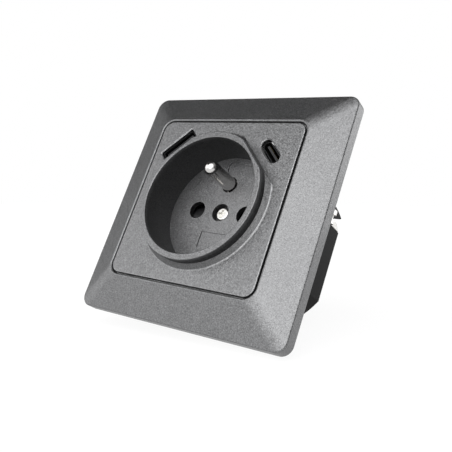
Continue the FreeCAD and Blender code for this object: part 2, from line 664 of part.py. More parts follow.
def shutter_guides():
    """Two rails in the pocket that the shutter slides between."""
    near = SHUTTER_HALF_WIDTH + SHUTTER_PLAY
    far = near + GUIDE_WALL
    depths = (SHUTTER_FRONT, POCKET_FLOOR)
    length = (SHUTTER_BOTTOM - SHUTTER_TRAVEL, SHUTTER_TOP)
    return [box((near, far), depths, length), box((-far, -near), depths, length)]


def base_housing():
    """The front moulding: shutter pocket in front of the deck, and the contacts' chambers behind it."""
    outer = prism(housing_outline(BASE_FRONT), BASE_BACK - BASE_FRONT)
    chamber = prism(housing_outline(DECK_BACK, HOUSING_WALL), BASE_BACK - DECK_BACK)
    chamber = chamber.cut(claw_notches(*past(DECK_BACK, BASE_BACK), NOTCH_WALL))
    body = outer.cut([chamber, rod(POCKET_RADIUS, BASE_FRONT, POCKET_FLOOR)])
    inside = [rod(POST_RADIUS, DECK_BACK, POST_END)] + shutter_guides()
    for side in (-1, 1):
        middle = side * (RIB_PLACE + RIB_WALL / 2)
        inside.append(box((middle - RIB_WALL / 2, middle + RIB_WALL / 2), (DECK_BACK, BASE_BACK),
                          (TERMINAL_TOP + RIB_TERMINAL_GAP, RIB_TOP)))
        inside.append(rod(BOSS_RADIUS, DECK_BACK, BASE_BACK, side * BOSS_PLACE, -BOSS_PLACE))
    nub = lug_nub()
    body = body.fuse(inside + [nub, spin(nub, 180)])
    deck = past(POCKET_FLOOR, DECK_BACK)
    cuts = claw_notches(*past(BASE_FRONT, BASE_BACK))
    cuts += [rod(PLUG_PIN_RADIUS + DECK_HOLE_PLAY, *deck, x) for x in (-ENTRY_X, ENTRY_X)]
    cuts.append(rod(EARTH_BASE_RADIUS + EARTH_SEAT_PLAY, *deck, 0, EARTH_OFFSET))
    cuts.append(rod(COVER_SCREW_RADIUS, *past(POCKET_FLOOR, POST_END)))
    for side in (-1, 1):
        cuts.append(rod(CASE_SCREW_RADIUS, CASE_SEAT - CASE_SCREW_LENGTH - CASE_SCREW_RADIUS, BASE_BACK,
                        side * BOSS_PLACE, -BOSS_PLACE))
    below = -HOUSING_FLAT - HOUSING_WALL / 2
    for step in TERMINAL_STEPS:
        start = V(step * TERMINAL_PITCH, TERMINAL_MIDDLE, below)
        cuts.append(Part.makeCylinder(DRIVER_HOLE_RADIUS, 2 * HOUSING_WALL, start))
    cuts.append(header_block(HEADER_BODY / 2 + HEADER_PLAY, *past(BASE_FRONT, DECK_BACK)))
    return one(body.cut(cuts))


def rear_cover():
    """The back moulding, with a funnel for each wire, sunk case screws and a row of vents."""
    outer = prism(housing_outline(BASE_BACK), HOUSING_BACK - BASE_BACK)
    outer = outer.makeFillet(BACK_ROUND, edges_at(outer, HOUSING_BACK))
    cavity = prism(housing_outline(BASE_BACK, HOUSING_WALL), HOUSING_INNER_BACK - BASE_BACK)
    cavity = cavity.cut(claw_notches(*past(BASE_BACK, HOUSING_BACK), NOTCH_WALL))
    inside = []
    cuts = claw_notches(*past(BASE_BACK, HOUSING_BACK))
    root = HOUSING_BACK - HOUSING_WALL / 2
    for step in TERMINAL_STEPS:
        place = (step * TERMINAL_PITCH, TERMINAL_Z)
        inside.append(rod(TUNNEL_RADIUS, TERMINAL_BACK, root, *place))
        cuts.append(rod(TUNNEL_BORE, *past(TERMINAL_BACK, HOUSING_BACK), *place))
        funnel = (TUNNEL_BORE, TUNNEL_BORE + FUNNEL_STEP, HOUSING_BACK - FUNNEL_DEPTH, HOUSING_BACK)
        cuts.append(cone(*funnel, *place))
    for side in (-1, 1):
        place = (side * BOSS_PLACE, -BOSS_PLACE)
        inside.append(rod(BOSS_RADIUS + BOSS_STEP, BASE_BACK, root, *place))
        cuts.append(rod(CASE_SCREW_RADIUS + SCREW_PLAY, *past(BASE_BACK, HOUSING_BACK), *place))
        cuts.append(rod(CASE_HEAD_RADIUS + SCREW_PLAY, CASE_SEAT, HOUSING_BACK, *place))
    for step in range(VENT_COUNT):
        x = (step - (VENT_COUNT - 1) / 2) * VENT_PITCH
        wall = past(HOUSING_INNER_BACK, HOUSING_BACK)
        cuts.append(middle_box(x, VENT_WIDTH / 2, wall, VENT_PLACE, VENT_LENGTH / 2))
    return one(outer.cut(cavity).fuse(inside).cut(cuts))


def case_screws():
    """Two screws from behind that hold the rear cover to the base."""
    solids = []
    end = CASE_SEAT + CASE_HEAD_HEIGHT
    for side in (-1, 1):
        place = (side * BOSS_PLACE, -BOSS_PLACE)
        shank = rod(CASE_SCREW_RADIUS, CASE_SEAT - CASE_SCREW_LENGTH, CASE_SEAT, *place)
        head = rod(CASE_HEAD_RADIUS, CASE_SEAT, end, *place)
        slots = cross_slot(CASE_HEAD_RADIUS * SLOT_SHARE, end, -SLOT_DEPTH, *place)
        solids.append(one(shank.fuse(head).cut(slots)))
    return Part.makeCompound(solids)


def earth_pin():
    """A turned pin: domed tip, neck in the floor, base in the deck, shoulder and riveted end."""
    centre = (0, EARTH_OFFSET)
    dome = FLOOR - EARTH_REACH + EARTH_RADIUS
    head_back = EARTH_STRAP_BACK + RIVET_HEAD
    return one(Part.makeSphere(EARTH_RADIUS, V(0, dome, EARTH_OFFSET)).fuse([
        rod(EARTH_RADIUS, dome, FLOOR, *centre),
        rod(EARTH_RADIUS - EARTH_NECK_STEP, FLOOR, FLOOR_BACK, *centre),
        rod(EARTH_BASE_RADIUS, FLOOR_BACK, DECK_BACK, *centre),
        rod(SHOULDER_RADIUS, DECK_BACK, DECK_BACK + SHOULDER_WALL, *centre),
        rod(EARTH_RADIUS, DECK_BACK, EARTH_STRAP_FRONT, *centre),
        rod(RIVET_RADIUS, EARTH_STRAP_FRONT, EARTH_STRAP_BACK, *centre),
        cone(EARTH_RADIUS, RIVET_RADIUS, EARTH_STRAP_BACK, head_back, *centre)]))


def earth_strap():
    """A bent strip from the pin's rivet to the middle terminal."""
    sides = (-STRAP_WIDTH, STRAP_WIDTH)
    strip = box(sides, (EARTH_STRAP_FRONT, EARTH_STRAP_BACK), (TERMINAL_TOP, EARTH_OFFSET + STRAP_WIDTH))
    foot = box(sides, (TERMINAL_FRONT, EARTH_STRAP_FRONT), (TERMINAL_TOP, TERMINAL_TOP + STRAP_WALL))
    hole = rod(RIVET_RADIUS, *past(EARTH_STRAP_FRONT, EARTH_STRAP_BACK), 0, EARTH_OFFSET)
    return one(strip.fuse(foot).cut(hole))


def live_contact(side):
    """One sprung contact: two leaves that grip the plug's pin, a bridge, and a strap to its terminal."""
    pinch = PLUG_PIN_RADIUS - LEAF_PINCH
    neck = CONTACT_FRONT + 2 * LEAF_FLARE
    inner = [(pinch + LEAF_FLARE, CONTACT_FRONT), (pinch, neck), (pinch, neck + LEAF_STRAIGHT),
             (CONTACT_ROOT, BRIDGE_FRONT)]
    outline = inner + [(x + LEAF_WALL, y) for x, y in reversed(inner)]
    width = (-LEAF_WIDTH / 2, LEAF_WIDTH / 2)
    leaves = [polygon(outline, rise_z=width), polygon([(-x, y) for x, y in outline], rise_z=width)]
    half_tall = PLUG_PIN_RADIUS + BRIDGE_MARGIN
    sheet = (BRIDGE_FRONT, CONTACT_BACK)
    strap_x = (0.0, STRAP_WIDTH)
    tail_x = (STRAP_WIDTH - TAIL_WIDTH, STRAP_WIDTH)
    tail_z = (POWER_BOARD_BOTTOM + TAIL_PLACE, POWER_BOARD_BOTTOM + TAIL_PLACE + TAIL_WIDTH)
    bridge = middle_box(0, CONTACT_HALF, sheet, 0, half_tall)
    strap = box(strap_x, sheet, (TERMINAL_TOP, -half_tall))
    foot = box(strap_x, (TERMINAL_FRONT, BRIDGE_FRONT), (TERMINAL_TOP, TERMINAL_TOP + STRAP_WALL))
    tail = box(tail_x, (CONTACT_BACK, BASE_BACK), tail_z)
    shape = bridge.fuse(leaves + [strap, foot, tail]).cut(rod(CONTACT_ROOT, *past(*sheet)))
    if side < 0:
        shape = shape.mirror(V(0, 0, 0), V(1, 0, 0))
    shape.translate(V(side * ENTRY_X, 0, 0))
    return one(shape)


def terminal(step):
    """A brass block with a blind hole for the wire and a threaded hole for its screw."""
    x = step * TERMINAL_PITCH
    half = TERMINAL_SIZE / 2
    block = box((x - half, x + half), (TERMINAL_FRONT, TERMINAL_BACK), (TERMINAL_BOTTOM, TERMINAL_TOP))
    length = TERMINAL_BACK - TERMINAL_FRONT
    long_edges = [e for e in block.Edges if abs(e.BoundBox.YLength - length) < 1e-6]
    block = block.makeChamfer(TERMINAL_CHAMFER, long_edges)
    bore = rod(WIRE_RADIUS, TERMINAL_FRONT + TERMINAL_FRONT_WALL, TERMINAL_BACK, x, TERMINAL_Z)
    thread = Part.makeCylinder(TERMINAL_SCREW_RADIUS, TERMINAL_Z - TERMINAL_BOTTOM,
                               V(x, TERMINAL_MIDDLE, TERMINAL_BOTTOM))
    return one(block.cut([bore, thread]))


def terminal_screws():
    """One headless screw in each terminal, reached through the housing's lower side."""
    solids = []
    low = TERMINAL_BOTTOM - TERMINAL_SCREW_PROUD
    high = TERMINAL_Z - WIRE_RADIUS
    slot = (TERMINAL_MIDDLE - SLOT_WIDTH / 2, TERMINAL_MIDDLE + SLOT_WIDTH / 2)
    for step in TERMINAL_STEPS:
        x = step * TERMINAL_PITCH
        screw = Part.makeCylinder(TERMINAL_SCREW_RADIUS, high - low, V(x, TERMINAL_MIDDLE, low))
        solids.append(one(screw.cut(middle_box(x, 2 * TERMINAL_SCREW_RADIUS, slot, low, SLOT_DEPTH))))
    return Part.makeCompound(solids)


def shutter():
    """The slide that closes both entries; a plug's pins push it down by its two ramps."""
    width, slot = SHUTTER_HALF_WIDTH, SHUTTER_SLOT
    right = [(width, SHUTTER_BOTTOM), (width, SHUTTER_TOP), (slot, SHUTTER_TOP), (slot, SHUTTER_BRIDGE_TOP)]
    left = [(-x, z) for x, z in reversed(right)]
    plate = polygon(right + left, depth_y=(SHUTTER_FRONT, SHUTTER_BACK))
    corners = [V(-width, SHUTTER_FRONT, SHUTTER_TOP - SHUTTER_RAMP_RISE),
               V(-width, SHUTTER_FRONT, SHUTTER_TOP),
               V(-width, SHUTTER_FRONT + SHUTTER_RAMP_RUN, SHUTTER_TOP)]
    ramp = Part.Face(Part.makePolygon(corners + corners[:1])).extrude(V(2 * width, 0, 0))
    peg = Part.makeCylinder(SPRING_RADIUS - 2 * SPRING_WIRE - PEG_PLAY, PEG_LENGTH,
                            V(0, SPRING_Y, SHUTTER_BOTTOM), V(0, 0, -1))
    return one(plate.cut(ramp).fuse(peg))


def shutter_spring():
    """A coil between the shutter's peg and the pocket's wall, along Z."""
    length = SHUTTER_BOTTOM - SPRING_END
    radius = SPRING_RADIUS - SPRING_WIRE
    helix = Part.makeHelix(length / SPRING_TURNS, length - 2 * SPRING_WIRE, radius)
    section = Part.Wire(Part.makeCircle(SPRING_WIRE, V(radius, 0, 0), DEPTH))
    coil = Part.Wire(helix).makePipeShell([section], True, True)
    coil.translate(V(0, SPRING_Y, SPRING_END + SPRING_WIRE))
    return one(coil)


def claw():
    """One folded steel claw: a web beside the housing, a slanted foot for its screw, teeth and a toe."""
    low, high = CLAW_PLACE - CLAW_WIDTH / 2, CLAW_PLACE + CLAW_WIDTH / 2
    web = box((CLAW_INNER, CLAW_OUTER), (CLAW_START, CLAW_END), (low, high))
    root = CLAW_INNER + CLAW_WALL / 2
    parts = [polygon([(root, CLAW_FOOT_BACK), (root, CLAW_FOOT_BACK + CLAW_WALL),
                      (CLAW_FOOT_INNER, CLAW_FOOT_FRONT + CLAW_WALL), (CLAW_FOOT_INNER, CLAW_FOOT_FRONT)],
                     rise_z=(low + CLAW_FOOT_INSET, high - CLAW_FOOT_INSET))]
    tooth_root = CLAW_OUTER - CLAW_WALL / 2
    tip = CLAW_OUTER + CLAW_TOOTH
    slope = CLAW_END - CLAW_TOOTH_TIP - CLAW_TOOTH_SLOPE
    width = CLAW_WIDTH / 3
    for z in (low, high - width):
        parts.append(polygon([(tooth_root, slope), (CLAW_OUTER, slope), (tip, CLAW_END - CLAW_TOOTH_TIP),
                              (tip, CLAW_END), (tooth_root, CLAW_END)], rise_z=(z, z + width)))
    side, end = low + CLAW_TOE_WIDTH, CLAW_TOE_END - CLAW_TOE_SLOPE
    toe = [(CLAW_END - CLAW_WALL, low), (CLAW_TOE_END, low), (end, side), (CLAW_END - CLAW_WALL, side)]
    face = Part.makePolygon([V(CLAW_INNER, y, z) for y, z in toe + toe[:1]])
    parts.append(Part.Face(face).extrude(V(CLAW_WALL, 0, 0)))
    return one(web.fuse(parts))


def claw_screws():
    """The long screws that drive the claws' feet."""
    place = (CLAW_SCREW_PLACE, CLAW_PLACE)
    top = SUPPORT_FRONT - CLAW_HEAD_HEIGHT
    head = rod(CLAW_HEAD_RADIUS, top, SUPPORT_FRONT, *place)
    shank = rod(CLAW_SCREW_RADIUS, SUPPORT_FRONT, CLAW_SCREW_END, *place)
    screw = one(head.fuse(shank).cut(cross_slot(CLAW_HEAD_RADIUS * SLOT_SHARE, top, SLOT_DEPTH, *place)))
    return Part.makeCompound([screw, spin(screw, 180)])


def usb_board():
    """An arched board behind both ports, cut out for the claw and its screw."""
    depths = (PORT_BOARD_FRONT, PORT_BOARD_BACK)
    ring = rod(HOUSING_RADIUS - PORT_BOARD_OUTER_GAP, *depths)
    ring = ring.cut(rod(COLLAR_RADIUS + PORT_BOARD_INNER_GAP, *past(*depths)))
    upper = box((-HOUSING_FLAT, HOUSING_FLAT), depths, (LUG_WIDTH / 2 + BOARD_PLAY, HOUSING_FLAT))
    board = ring.common(upper)
    screw_hole = rod(CLAW_SCREW_RADIUS + PORT_BOARD_SCREW_GAP, *past(*depths), CLAW_SCREW_PLACE, CLAW_PLACE)
    claw_room = box((CLAW_INNER - PORT_BOARD_SCREW_GAP, HOUSING_RADIUS), past(*depths),
                    (CLAW_PLACE - CLAW_NOTCH_HALF, CLAW_PLACE + CLAW_NOTCH_HALF))
    return one(board.cut([screw_hole, claw_room]))


def header_block(half_short, front, back):
    """The space of the pin strip, on the larger port's diagonal."""
    half_long = HEADER_PITCH * (HEADER_PINS - 1) / 2 + half_short
    return spin(middle_box(0, half_long, (front, back), HEADER_REACH, half_short), 90 - PORT_ANGLE)


def board_header():
    """The pin strip that carries the supply from the rear board to the port board."""
    parts = []
    half = HEADER_PIN / 2
    for step in range(HEADER_PINS):
        x = (step - (HEADER_PINS - 1) / 2) * HEADER_PITCH
        pin = middle_box(x, half, (PORT_BOARD_BACK, BASE_BACK), HEADER_REACH, half)
        parts.append(spin(pin, 90 - PORT_ANGLE))
    return one(header_block(HEADER_BODY / 2, PORT_BOARD_BACK, PORT_BOARD_BACK + HEADER_HEIGHT).fuse(parts))


def power_board():
    """The mains board, held between the two mouldings above the wire tunnels."""
    board = prism(housing_outline(BASE_BACK, HOUSING_WALL + BOARD_PLAY), BOARD_WALL)
    depths = past(BASE_BACK, POWER_BOARD_BACK)
    cuts = claw_notches(*depths, NOTCH_WALL + BOARD_PLAY)
    cuts.append(box((-FRAME_SIZE, FRAME_SIZE), depths, (-FRAME_SIZE, POWER_BOARD_BOTTOM)))
    return one(board.cut(cuts))


def port_shell(port):
    """A drawn metal shell: the port's outline, open at the front and closed on the board."""
    outer = port(0.0, PLATE_FRONT + PORT_SETBACK, PORT_BOARD_FRONT)
    inner = port(PORT_SHELL_WALL, PLATE_FRONT, PORT_BOARD_FRONT - PORT_SHELL_WALL)
    return one(outer.cut(inner))


def tongue(half_long, wall, reach, angle):
    """The insulating tongue inside a shell, a little behind the shell's mouth."""
    front = PLATE_FRONT + PORT_SETBACK + TONGUE_SETBACK
    back = PORT_BOARD_FRONT - PORT_SHELL_WALL
    return port_block(half_long, wall / 2, TONGUE_CORNER, reach, angle, front, back)


def usb_a_tongue():
    half_long = PORT_A_LONG / 2 - TONGUE_A_SIDE
    return tongue(half_long, TONGUE_A_WALL, PORT_A_REACH + TONGUE_A_OFFSET, 180 - PORT_ANGLE)


def usb_c_tongue():
    half_long = PORT_C_LONG / 2 - TONGUE_C_SIDE
    return tongue(half_long, TONGUE_C_WALL, PORT_C_REACH, PORT_ANGLE)


def transformer():
    """Two E cores closed round a wound bobbin."""
    back = POWER_BOARD_BACK + CORE_DEPTH
    half = CORE_WIDTH / 2
    low, high = CORE_LOW + CORE_LEG, CORE_HIGH - CORE_LEG
    depths = (POWER_BOARD_BACK, back)
    core = box((CORE_X - half, CORE_X + half), depths, (CORE_LOW, CORE_HIGH))
    sides = (CORE_X - half + CORE_LEG, CORE_X + half - CORE_LEG)
    window = box(sides, past(*depths), (low, high))
    winding = Part.makeCylinder(WINDING_RADIUS, high - low, V(CORE_X, (POWER_BOARD_BACK + back) / 2, low))
    cheeks = [box(sides, depths, (z, z + CHEEK_WALL)) for z in (low, high - CHEEK_WALL)]
    return one(core.cut(window).fuse([winding] + cheeks))


def can(radius, length, x, z, way):
    """A capacitor lying on the board, with its rolled groove."""
    start = V(x, POWER_BOARD_BACK + radius, z)
    body = Part.makeCylinder(radius, length, start, way)
    body = body.makeFillet(CAP_ROUND, [e for e in body.Edges if e.Curve.TypeId == "Part::GeomCircle"])
    place = start + way * (length - CAP_GROOVE_PLACE)
    groove = Part.makeTorus(radius + CAP_GROOVE, 2 * CAP_GROOVE, place, way)
    return one(body.cut(groove))


def input_capacitor():
    return can(INPUT_CAP_RADIUS, INPUT_CAP_LENGTH, INPUT_CAP_X, INPUT_CAP_START, UP)


def output_capacitor():
    return can(OUTPUT_CAP_RADIUS, OUTPUT_CAP_LENGTH, CORE_X - OUTPUT_CAP_INSET, OUTPUT_CAP_Z, V(1, 0, 0))


NODES = {
    "cover_frame": cover_frame,
    "centre_plate": centre_plate,
    "cover_screw": cover_screw,
    "support_frame": support_frame,
    "base_housing": base_housing,
    "rear_cover": rear_cover,
    "case_screws": case_screws,
    "earth_pin": earth_pin,
    "earth_strap": earth_strap,
    "line_contact": lambda: live_contact(1),
    "neutral_contact": lambda: live_contact(-1),
    "line_terminal": lambda: terminal(1),
    "earth_terminal": lambda: terminal(0),
    "neutral_terminal": lambda: terminal(-1),
    "terminal_screws": terminal_screws,
    "shutter": shutter,
    "shutter_spring": shutter_spring,
    "claw_right": claw,
    "claw_left": lambda: spin(claw(), 180),
    "claw_screws": claw_screws,
    "usb_board": usb_board,
    "board_header": board_header,
    "power_board": power_board,
    "usb_a_shell": lambda: port_shell(port_a),
    "usb_a_tongue": usb_a_tongue,
    "usb_c_shell": lambda: port_shell(port_c),
    "usb_c_tongue": usb_c_tongue,
    "transformer": transformer,
    "input_capacitor": input_capacitor,
    "output_capacitor": output_capacitor,
}

os.makedirs("parts", exist_ok=True)
for name, make in NODES.items():
    shape = make()
    shape.exportStep(f"parts/{name}.step")
    print(f"{name}: {len(shape.Solids)} solid(s), valid {shape.isValid()}, {shape.Volume:.1f} mm3")
print(f"window {2 * WINDOW_HALF:.2f}, housing {2 * HOUSING_FLAT:.2f} by {2 * HOUSING_RADIUS:.2f} wide")
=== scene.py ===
import math

import bmesh
import bpy
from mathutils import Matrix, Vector


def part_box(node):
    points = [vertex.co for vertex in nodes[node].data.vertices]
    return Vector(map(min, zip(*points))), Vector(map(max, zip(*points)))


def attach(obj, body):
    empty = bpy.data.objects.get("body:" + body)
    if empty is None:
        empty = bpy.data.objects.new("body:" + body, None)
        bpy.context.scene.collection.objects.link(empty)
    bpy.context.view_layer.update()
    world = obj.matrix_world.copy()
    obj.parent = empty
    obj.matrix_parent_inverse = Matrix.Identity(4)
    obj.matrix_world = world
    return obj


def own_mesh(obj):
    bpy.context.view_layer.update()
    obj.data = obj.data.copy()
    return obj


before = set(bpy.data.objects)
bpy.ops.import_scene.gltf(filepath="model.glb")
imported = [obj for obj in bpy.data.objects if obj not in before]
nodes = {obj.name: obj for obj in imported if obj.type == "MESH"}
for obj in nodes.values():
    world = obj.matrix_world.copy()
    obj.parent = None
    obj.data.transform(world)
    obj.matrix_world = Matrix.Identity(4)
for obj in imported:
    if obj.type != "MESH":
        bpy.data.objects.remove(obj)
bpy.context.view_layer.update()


# ---------------------------------------------------------------- cover frame
# The 80 mm frame that hides the edge of the hole in the wall: injection-moulded
# plastic with four broad bevels, sprayed with a dark metallic lacquer. It clips
# on the support frame and the centre plate fills its window.

LACQUER = (0.179, 0.180, 0.183)
FLAKE = 0.00017             # width of one metal flake in the lacquer
SPECKLE = 2.2 * FLAKE       # width of a few flakes that catch the light together
FLAKE_TILT = 0.28           # how far the flakes lean out of the surface at random
METAL_SHARE = 0.94          # of the lacquer's surface, the rest is clear binder


def node(tree, kind, settings=None, **sockets):
    """Adds a node: settings are its properties, sockets its inputs by name or place."""
    made = tree.nodes.new(kind)
    for key, value in (settings or {}).items():
        setattr(made, key, value)
    for key, value in sockets.items():
        place = int(key[1:]) if key[0] == "_" else key.replace("_", " ")
        socket = made.inputs[place]
        if isinstance(value, bpy.types.NodeSocket):
            tree.links.new(value, socket)
        else:
            socket.default_value = value
    return made


def calc(tree, operation, first, second=0.0, clamp=False):
    """One sum of two numbers."""
    kind = {"operation": operation, "use_clamp": clamp}
    return node(tree, "ShaderNodeMath", kind, _0=first, _1=second).outputs[0]


def vector(tree, operation, **sockets):
    """One sum of vectors that gives a vector."""
    kind = {"operation": operation}
    return node(tree, "ShaderNodeVectorMath", kind, **sockets).outputs[0]


def between(tree, factor, low, high, from_low=0.0, from_high=1.0):
    """Spreads the part of a number from from_low to from_high over low to high."""
    made = node(tree, "ShaderNodeMapRange", None, Value=factor, From_Min=from_low,
                From_Max=from_high, To_Min=low, To_Max=high)
    return made.outputs["Result"]


def blend(tree, first, second, share):
    """Two numbers in one, the first with the given share."""
    return calc(tree, "ADD", calc(tree, "MULTIPLY", first, share),
                calc(tree, "MULTIPLY", second, 1 - share))


def noise(tree, place, scale, detail, roughness=0.5):
    """A cloudy number of 0 to 1, mostly from 0.3 to 0.7."""
    made = node(tree, "ShaderNodeTexNoise", None, Vector=place, Scale=scale,
                Detail=detail, Roughness=roughness)
    return made.outputs["Fac"]


def uneven(tree, cloud, low, high):
    """A roughness that wanders with a cloud, from low to high."""
    return between(tree, cloud, low, high, 0.3, 0.7)


def tones(tree, factor, *stops):
    """A row of colours along a number, each stop a place and a colour."""
    made = node(tree, "ShaderNodeValToRGB", None, Fac=factor)
    row = made.color_ramp.elements
    while len(row) < len(stops):
        row.new(0.5)
    for stop, (place, colour) in zip(row, stops):
        stop.position = place
        stop.color = (*colour, 1.0)
    return made.outputs["Color"]


def toned(colour, share):
    """A colour made darker by a share under 1 and lighter by one above it."""
    return tuple(c * share for c in colour)


def relief(tree, height, strength, distance, **normal):
    """Roughness too fine for the mesh, as bumps of the given height."""
    made = node(tree, "ShaderNodeBump", None, Strength=strength, Distance=distance,
                Height=height, **normal)
    return made.outputs["Normal"]


def blank_material(name):
    """A new material with nothing in it, and where its patterns are read."""
    material = bpy.data.materials.new(name)
    material.use_nodes = True
    tree = material.node_tree
    tree.nodes.clear()
    place = node(tree, "ShaderNodeTexCoord").outputs["Object"]
    return material, tree, place


def skinned(material, shade, roughness, bumps, metal=0.0, gloss=0.5):
    """Closes a material with its one surface and gives it back."""
    tree = material.node_tree
    surface = node(tree, "ShaderNodeBsdfPrincipled", None, Base_Color=shade,
                   Metallic=metal, Roughness=roughness, Specular_IOR_Level=gloss,
                   Normal=bumps)
    node(tree, "ShaderNodeOutputMaterial", None, Surface=surface.outputs[0])
    return material


def sprayed_lacquer(name, colour, painted_light=None):
    """Metallic lacquer on moulded plastic: flakes at their own angles in a satin layer.

    A function given as the last argument scales the colour with painted shade and
    painted highlight.
    """
    material, tree, place = blank_material(name)
    speckle = noise(tree, place, scale=1 / SPECKLE, detail=2.0, roughness=0.6)
    cloud = noise(tree, place, scale=90.0, detail=3.0)
    shade = tones(tree, blend(tree, speckle, cloud, 0.92),
                  (0.32, toned(colour, 0.68)), (0.5, colour),
                  (0.68, toned(colour, 1.38)))
    # painted shade and painted highlight scale the colour here
    if painted_light:
        shade = vector(tree, "SCALE", _0=shade, Scale=painted_light(tree, place))
    flakes = node(tree, "ShaderNodeTexVoronoi", None, Vector=place, Scale=1 / FLAKE)
    angle = vector(tree, "SUBTRACT", _0=flakes.outputs["Color"], _1=(0.5, 0.5, 0.5))
    tilt = vector(tree, "SCALE", _0=angle, Scale=FLAKE_TILT)
    upright = node(tree, "ShaderNodeNewGeometry").outputs["Normal"]
    facing = vector(tree, "NORMALIZE", _0=vector(tree, "ADD", _0=upright, _1=tilt))
    ripple = relief(tree, speckle, strength=0.25, distance=0.00004, Normal=facing)
    return skinned(material, shade, uneven(tree, speckle, 0.36, 0.50), ripple,
                   metal=METAL_SHARE)


def finish_nodes(material, *names):
    """Gives CAD nodes their finish, in every slot that they have."""
    for name in names:
        for place in nodes[name].material_slots:
            place.material = material


finish_nodes(sprayed_lacquer("frame_lacquer", LACQUER), "cover_frame")


# --------------------------------------------------------------- centre plate
# The plate with the well for the plug, its collar and the two port windows, in
# one moulding with the same lacquer as the frame, two sunk fields in the well's
# floor. Walls deep in the well and at the plate's rim are darkened as painted
# shade, and slanted edges outside the collar are lightened as painted highlight.

COLLAR_REACH = 0.0236               # radius just outside the collar's wall
PLATE_RIM = 0.0273                  # the walls at the plate's edge lie further out
PLATE_CORNER = (1.93, 1.95)         # the same for its round corners, as shares of it
SHADE_FADE = 0.0003                  # width over which the painted shade fades in
COLLAR_FRONT = (-0.0130, -0.0115)   # Y from the collar's front to where the painted shade is full
WALL_SHADE = 0.45                    # lightness of a wall under the painted shade
EDGE_HIGHLIGHT = 0.9                    # lightness that a slanted edge gains as a painted highlight
WALL_TURN = (0.30, 0.92)            # how far a wall may face front: outside, inside
# how far a slanted edge faces front, where that begins and where it ends
SLANT_FROM, SLANT_TO = (0.45, 0.60), (0.90, 0.97)


def painted_light_on_plate(tree, place):
    """Painted shade and painted highlight over the plate, as a scale on its colour.

    Walls that stand along Y inside the collar or at the plate's rim are darkened as
    painted shade of the deep well and of the gap to the frame. Slanted edges outside
    the collar are lightened as a painted highlight.
    """
    parts = node(tree, "ShaderNodeSeparateXYZ", None, Vector=place).outputs
    wide = calc(tree, "ABSOLUTE", parts["X"])
    tall = calc(tree, "ABSOLUTE", parts["Z"])
    radius = calc(tree, "SQRT", calc(tree, "ADD", calc(tree, "MULTIPLY", wide, wide),
                                     calc(tree, "MULTIPLY", tall, tall)))
    inside = between(tree, radius, 1.0, 0.0, COLLAR_REACH - SHADE_FADE, COLLAR_REACH)
    side = between(tree, calc(tree, "MAXIMUM", wide, tall), 0.0, 1.0,
                   PLATE_RIM, PLATE_RIM + SHADE_FADE)
    corner = between(tree, calc(tree, "ADD", wide, tall), 0.0, 1.0,
                     *(share * PLATE_RIM for share in PLATE_CORNER))
    near = calc(tree, "MAXIMUM", inside, calc(tree, "MAXIMUM", side, corner))
    faces = node(tree, "ShaderNodeNewGeometry").outputs["Normal"]
    turned = calc(tree, "ABSOLUTE", node(tree, "ShaderNodeSeparateXYZ", None,
                                         Vector=faces).outputs["Y"])
    upright = calc(tree, "DIVIDE", turned, between(tree, inside, *WALL_TURN))
    standing = between(tree, upright, 1.0, 0.0, 0.85, 1.0)
    behind = between(tree, parts["Y"], 0.0, 1.0, *COLLAR_FRONT)
    # painted shade on the walls that stand deep inside the collar and at the rim
    wall_shade = calc(tree, "MULTIPLY", calc(tree, "MULTIPLY", near, standing), behind)
    slanted = calc(tree, "MULTIPLY", between(tree, turned, 0.0, 1.0, *SLANT_FROM),
                   between(tree, turned, 1.0, 0.0, *SLANT_TO))
    # painted highlight on the slanted edges outside the collar
    edge = calc(tree, "MULTIPLY", slanted, calc(tree, "SUBTRACT", 1.0, inside))
    shade_loss = calc(tree, "MULTIPLY", wall_shade, 1.0 - WALL_SHADE)
    return calc(tree, "ADD", calc(tree, "MULTIPLY", edge, EDGE_HIGHLIGHT),
                calc(tree, "SUBTRACT", 1.0, shade_loss))


finish_nodes(sprayed_lacquer("plate_lacquer", LACQUER, painted_light_on_plate), "centre_plate")


# ---------------------------------------------------------------- cover screw
# The one screw that holds the plate to the housing: zinc-plated steel with a
# pan head and a cross recess, and a cut thread over the length of its shank.

ZINC = (0.78, 0.77, 0.74)
FLOAT, WHOLE, VECTOR = "NodeSocketFloat", "NodeSocketInt", "NodeSocketVector"
INWARD = (-math.pi / 2, 0.0, 0.0)   # turns a shape along Z to run into the wall


def plated_steel(name, colour, roughness=(0.16, 0.34)):
    """Zinc or nickel on steel: bright, a little cloudy, with faint turning marks."""
    material, tree, place = blank_material(name)
    cloud = noise(tree, place, scale=900.0, detail=4.0, roughness=0.65)
    fine = noise(tree, place, scale=6500.0, detail=2.0)
    shade = tones(tree, cloud, (0.3, toned(colour, 0.80)), (0.55, colour),
                  (0.75, toned(colour, 1.08)))
    marks = relief(tree, blend(tree, cloud, fine, 0.6), strength=0.35, distance=0.00003)
    return skinned(material, shade, uneven(tree, fine, *roughness), marks, metal=1.0)


def piece_of(shape, name, material, body="socket", smooth=False):
    """Turns a worked shape into a finished piece that rides on a body."""
    bmesh.ops.recalc_face_normals(shape, faces=shape.faces)
    mesh = bpy.data.meshes.new(name)
    shape.to_mesh(mesh)
    shape.free()
    for face in mesh.polygons:
        face.use_smooth = smooth
    thing = bpy.data.objects.new(name, mesh)
    bpy.context.collection.objects.link(thing)
    mesh.materials.append(material)
    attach(thing, body)


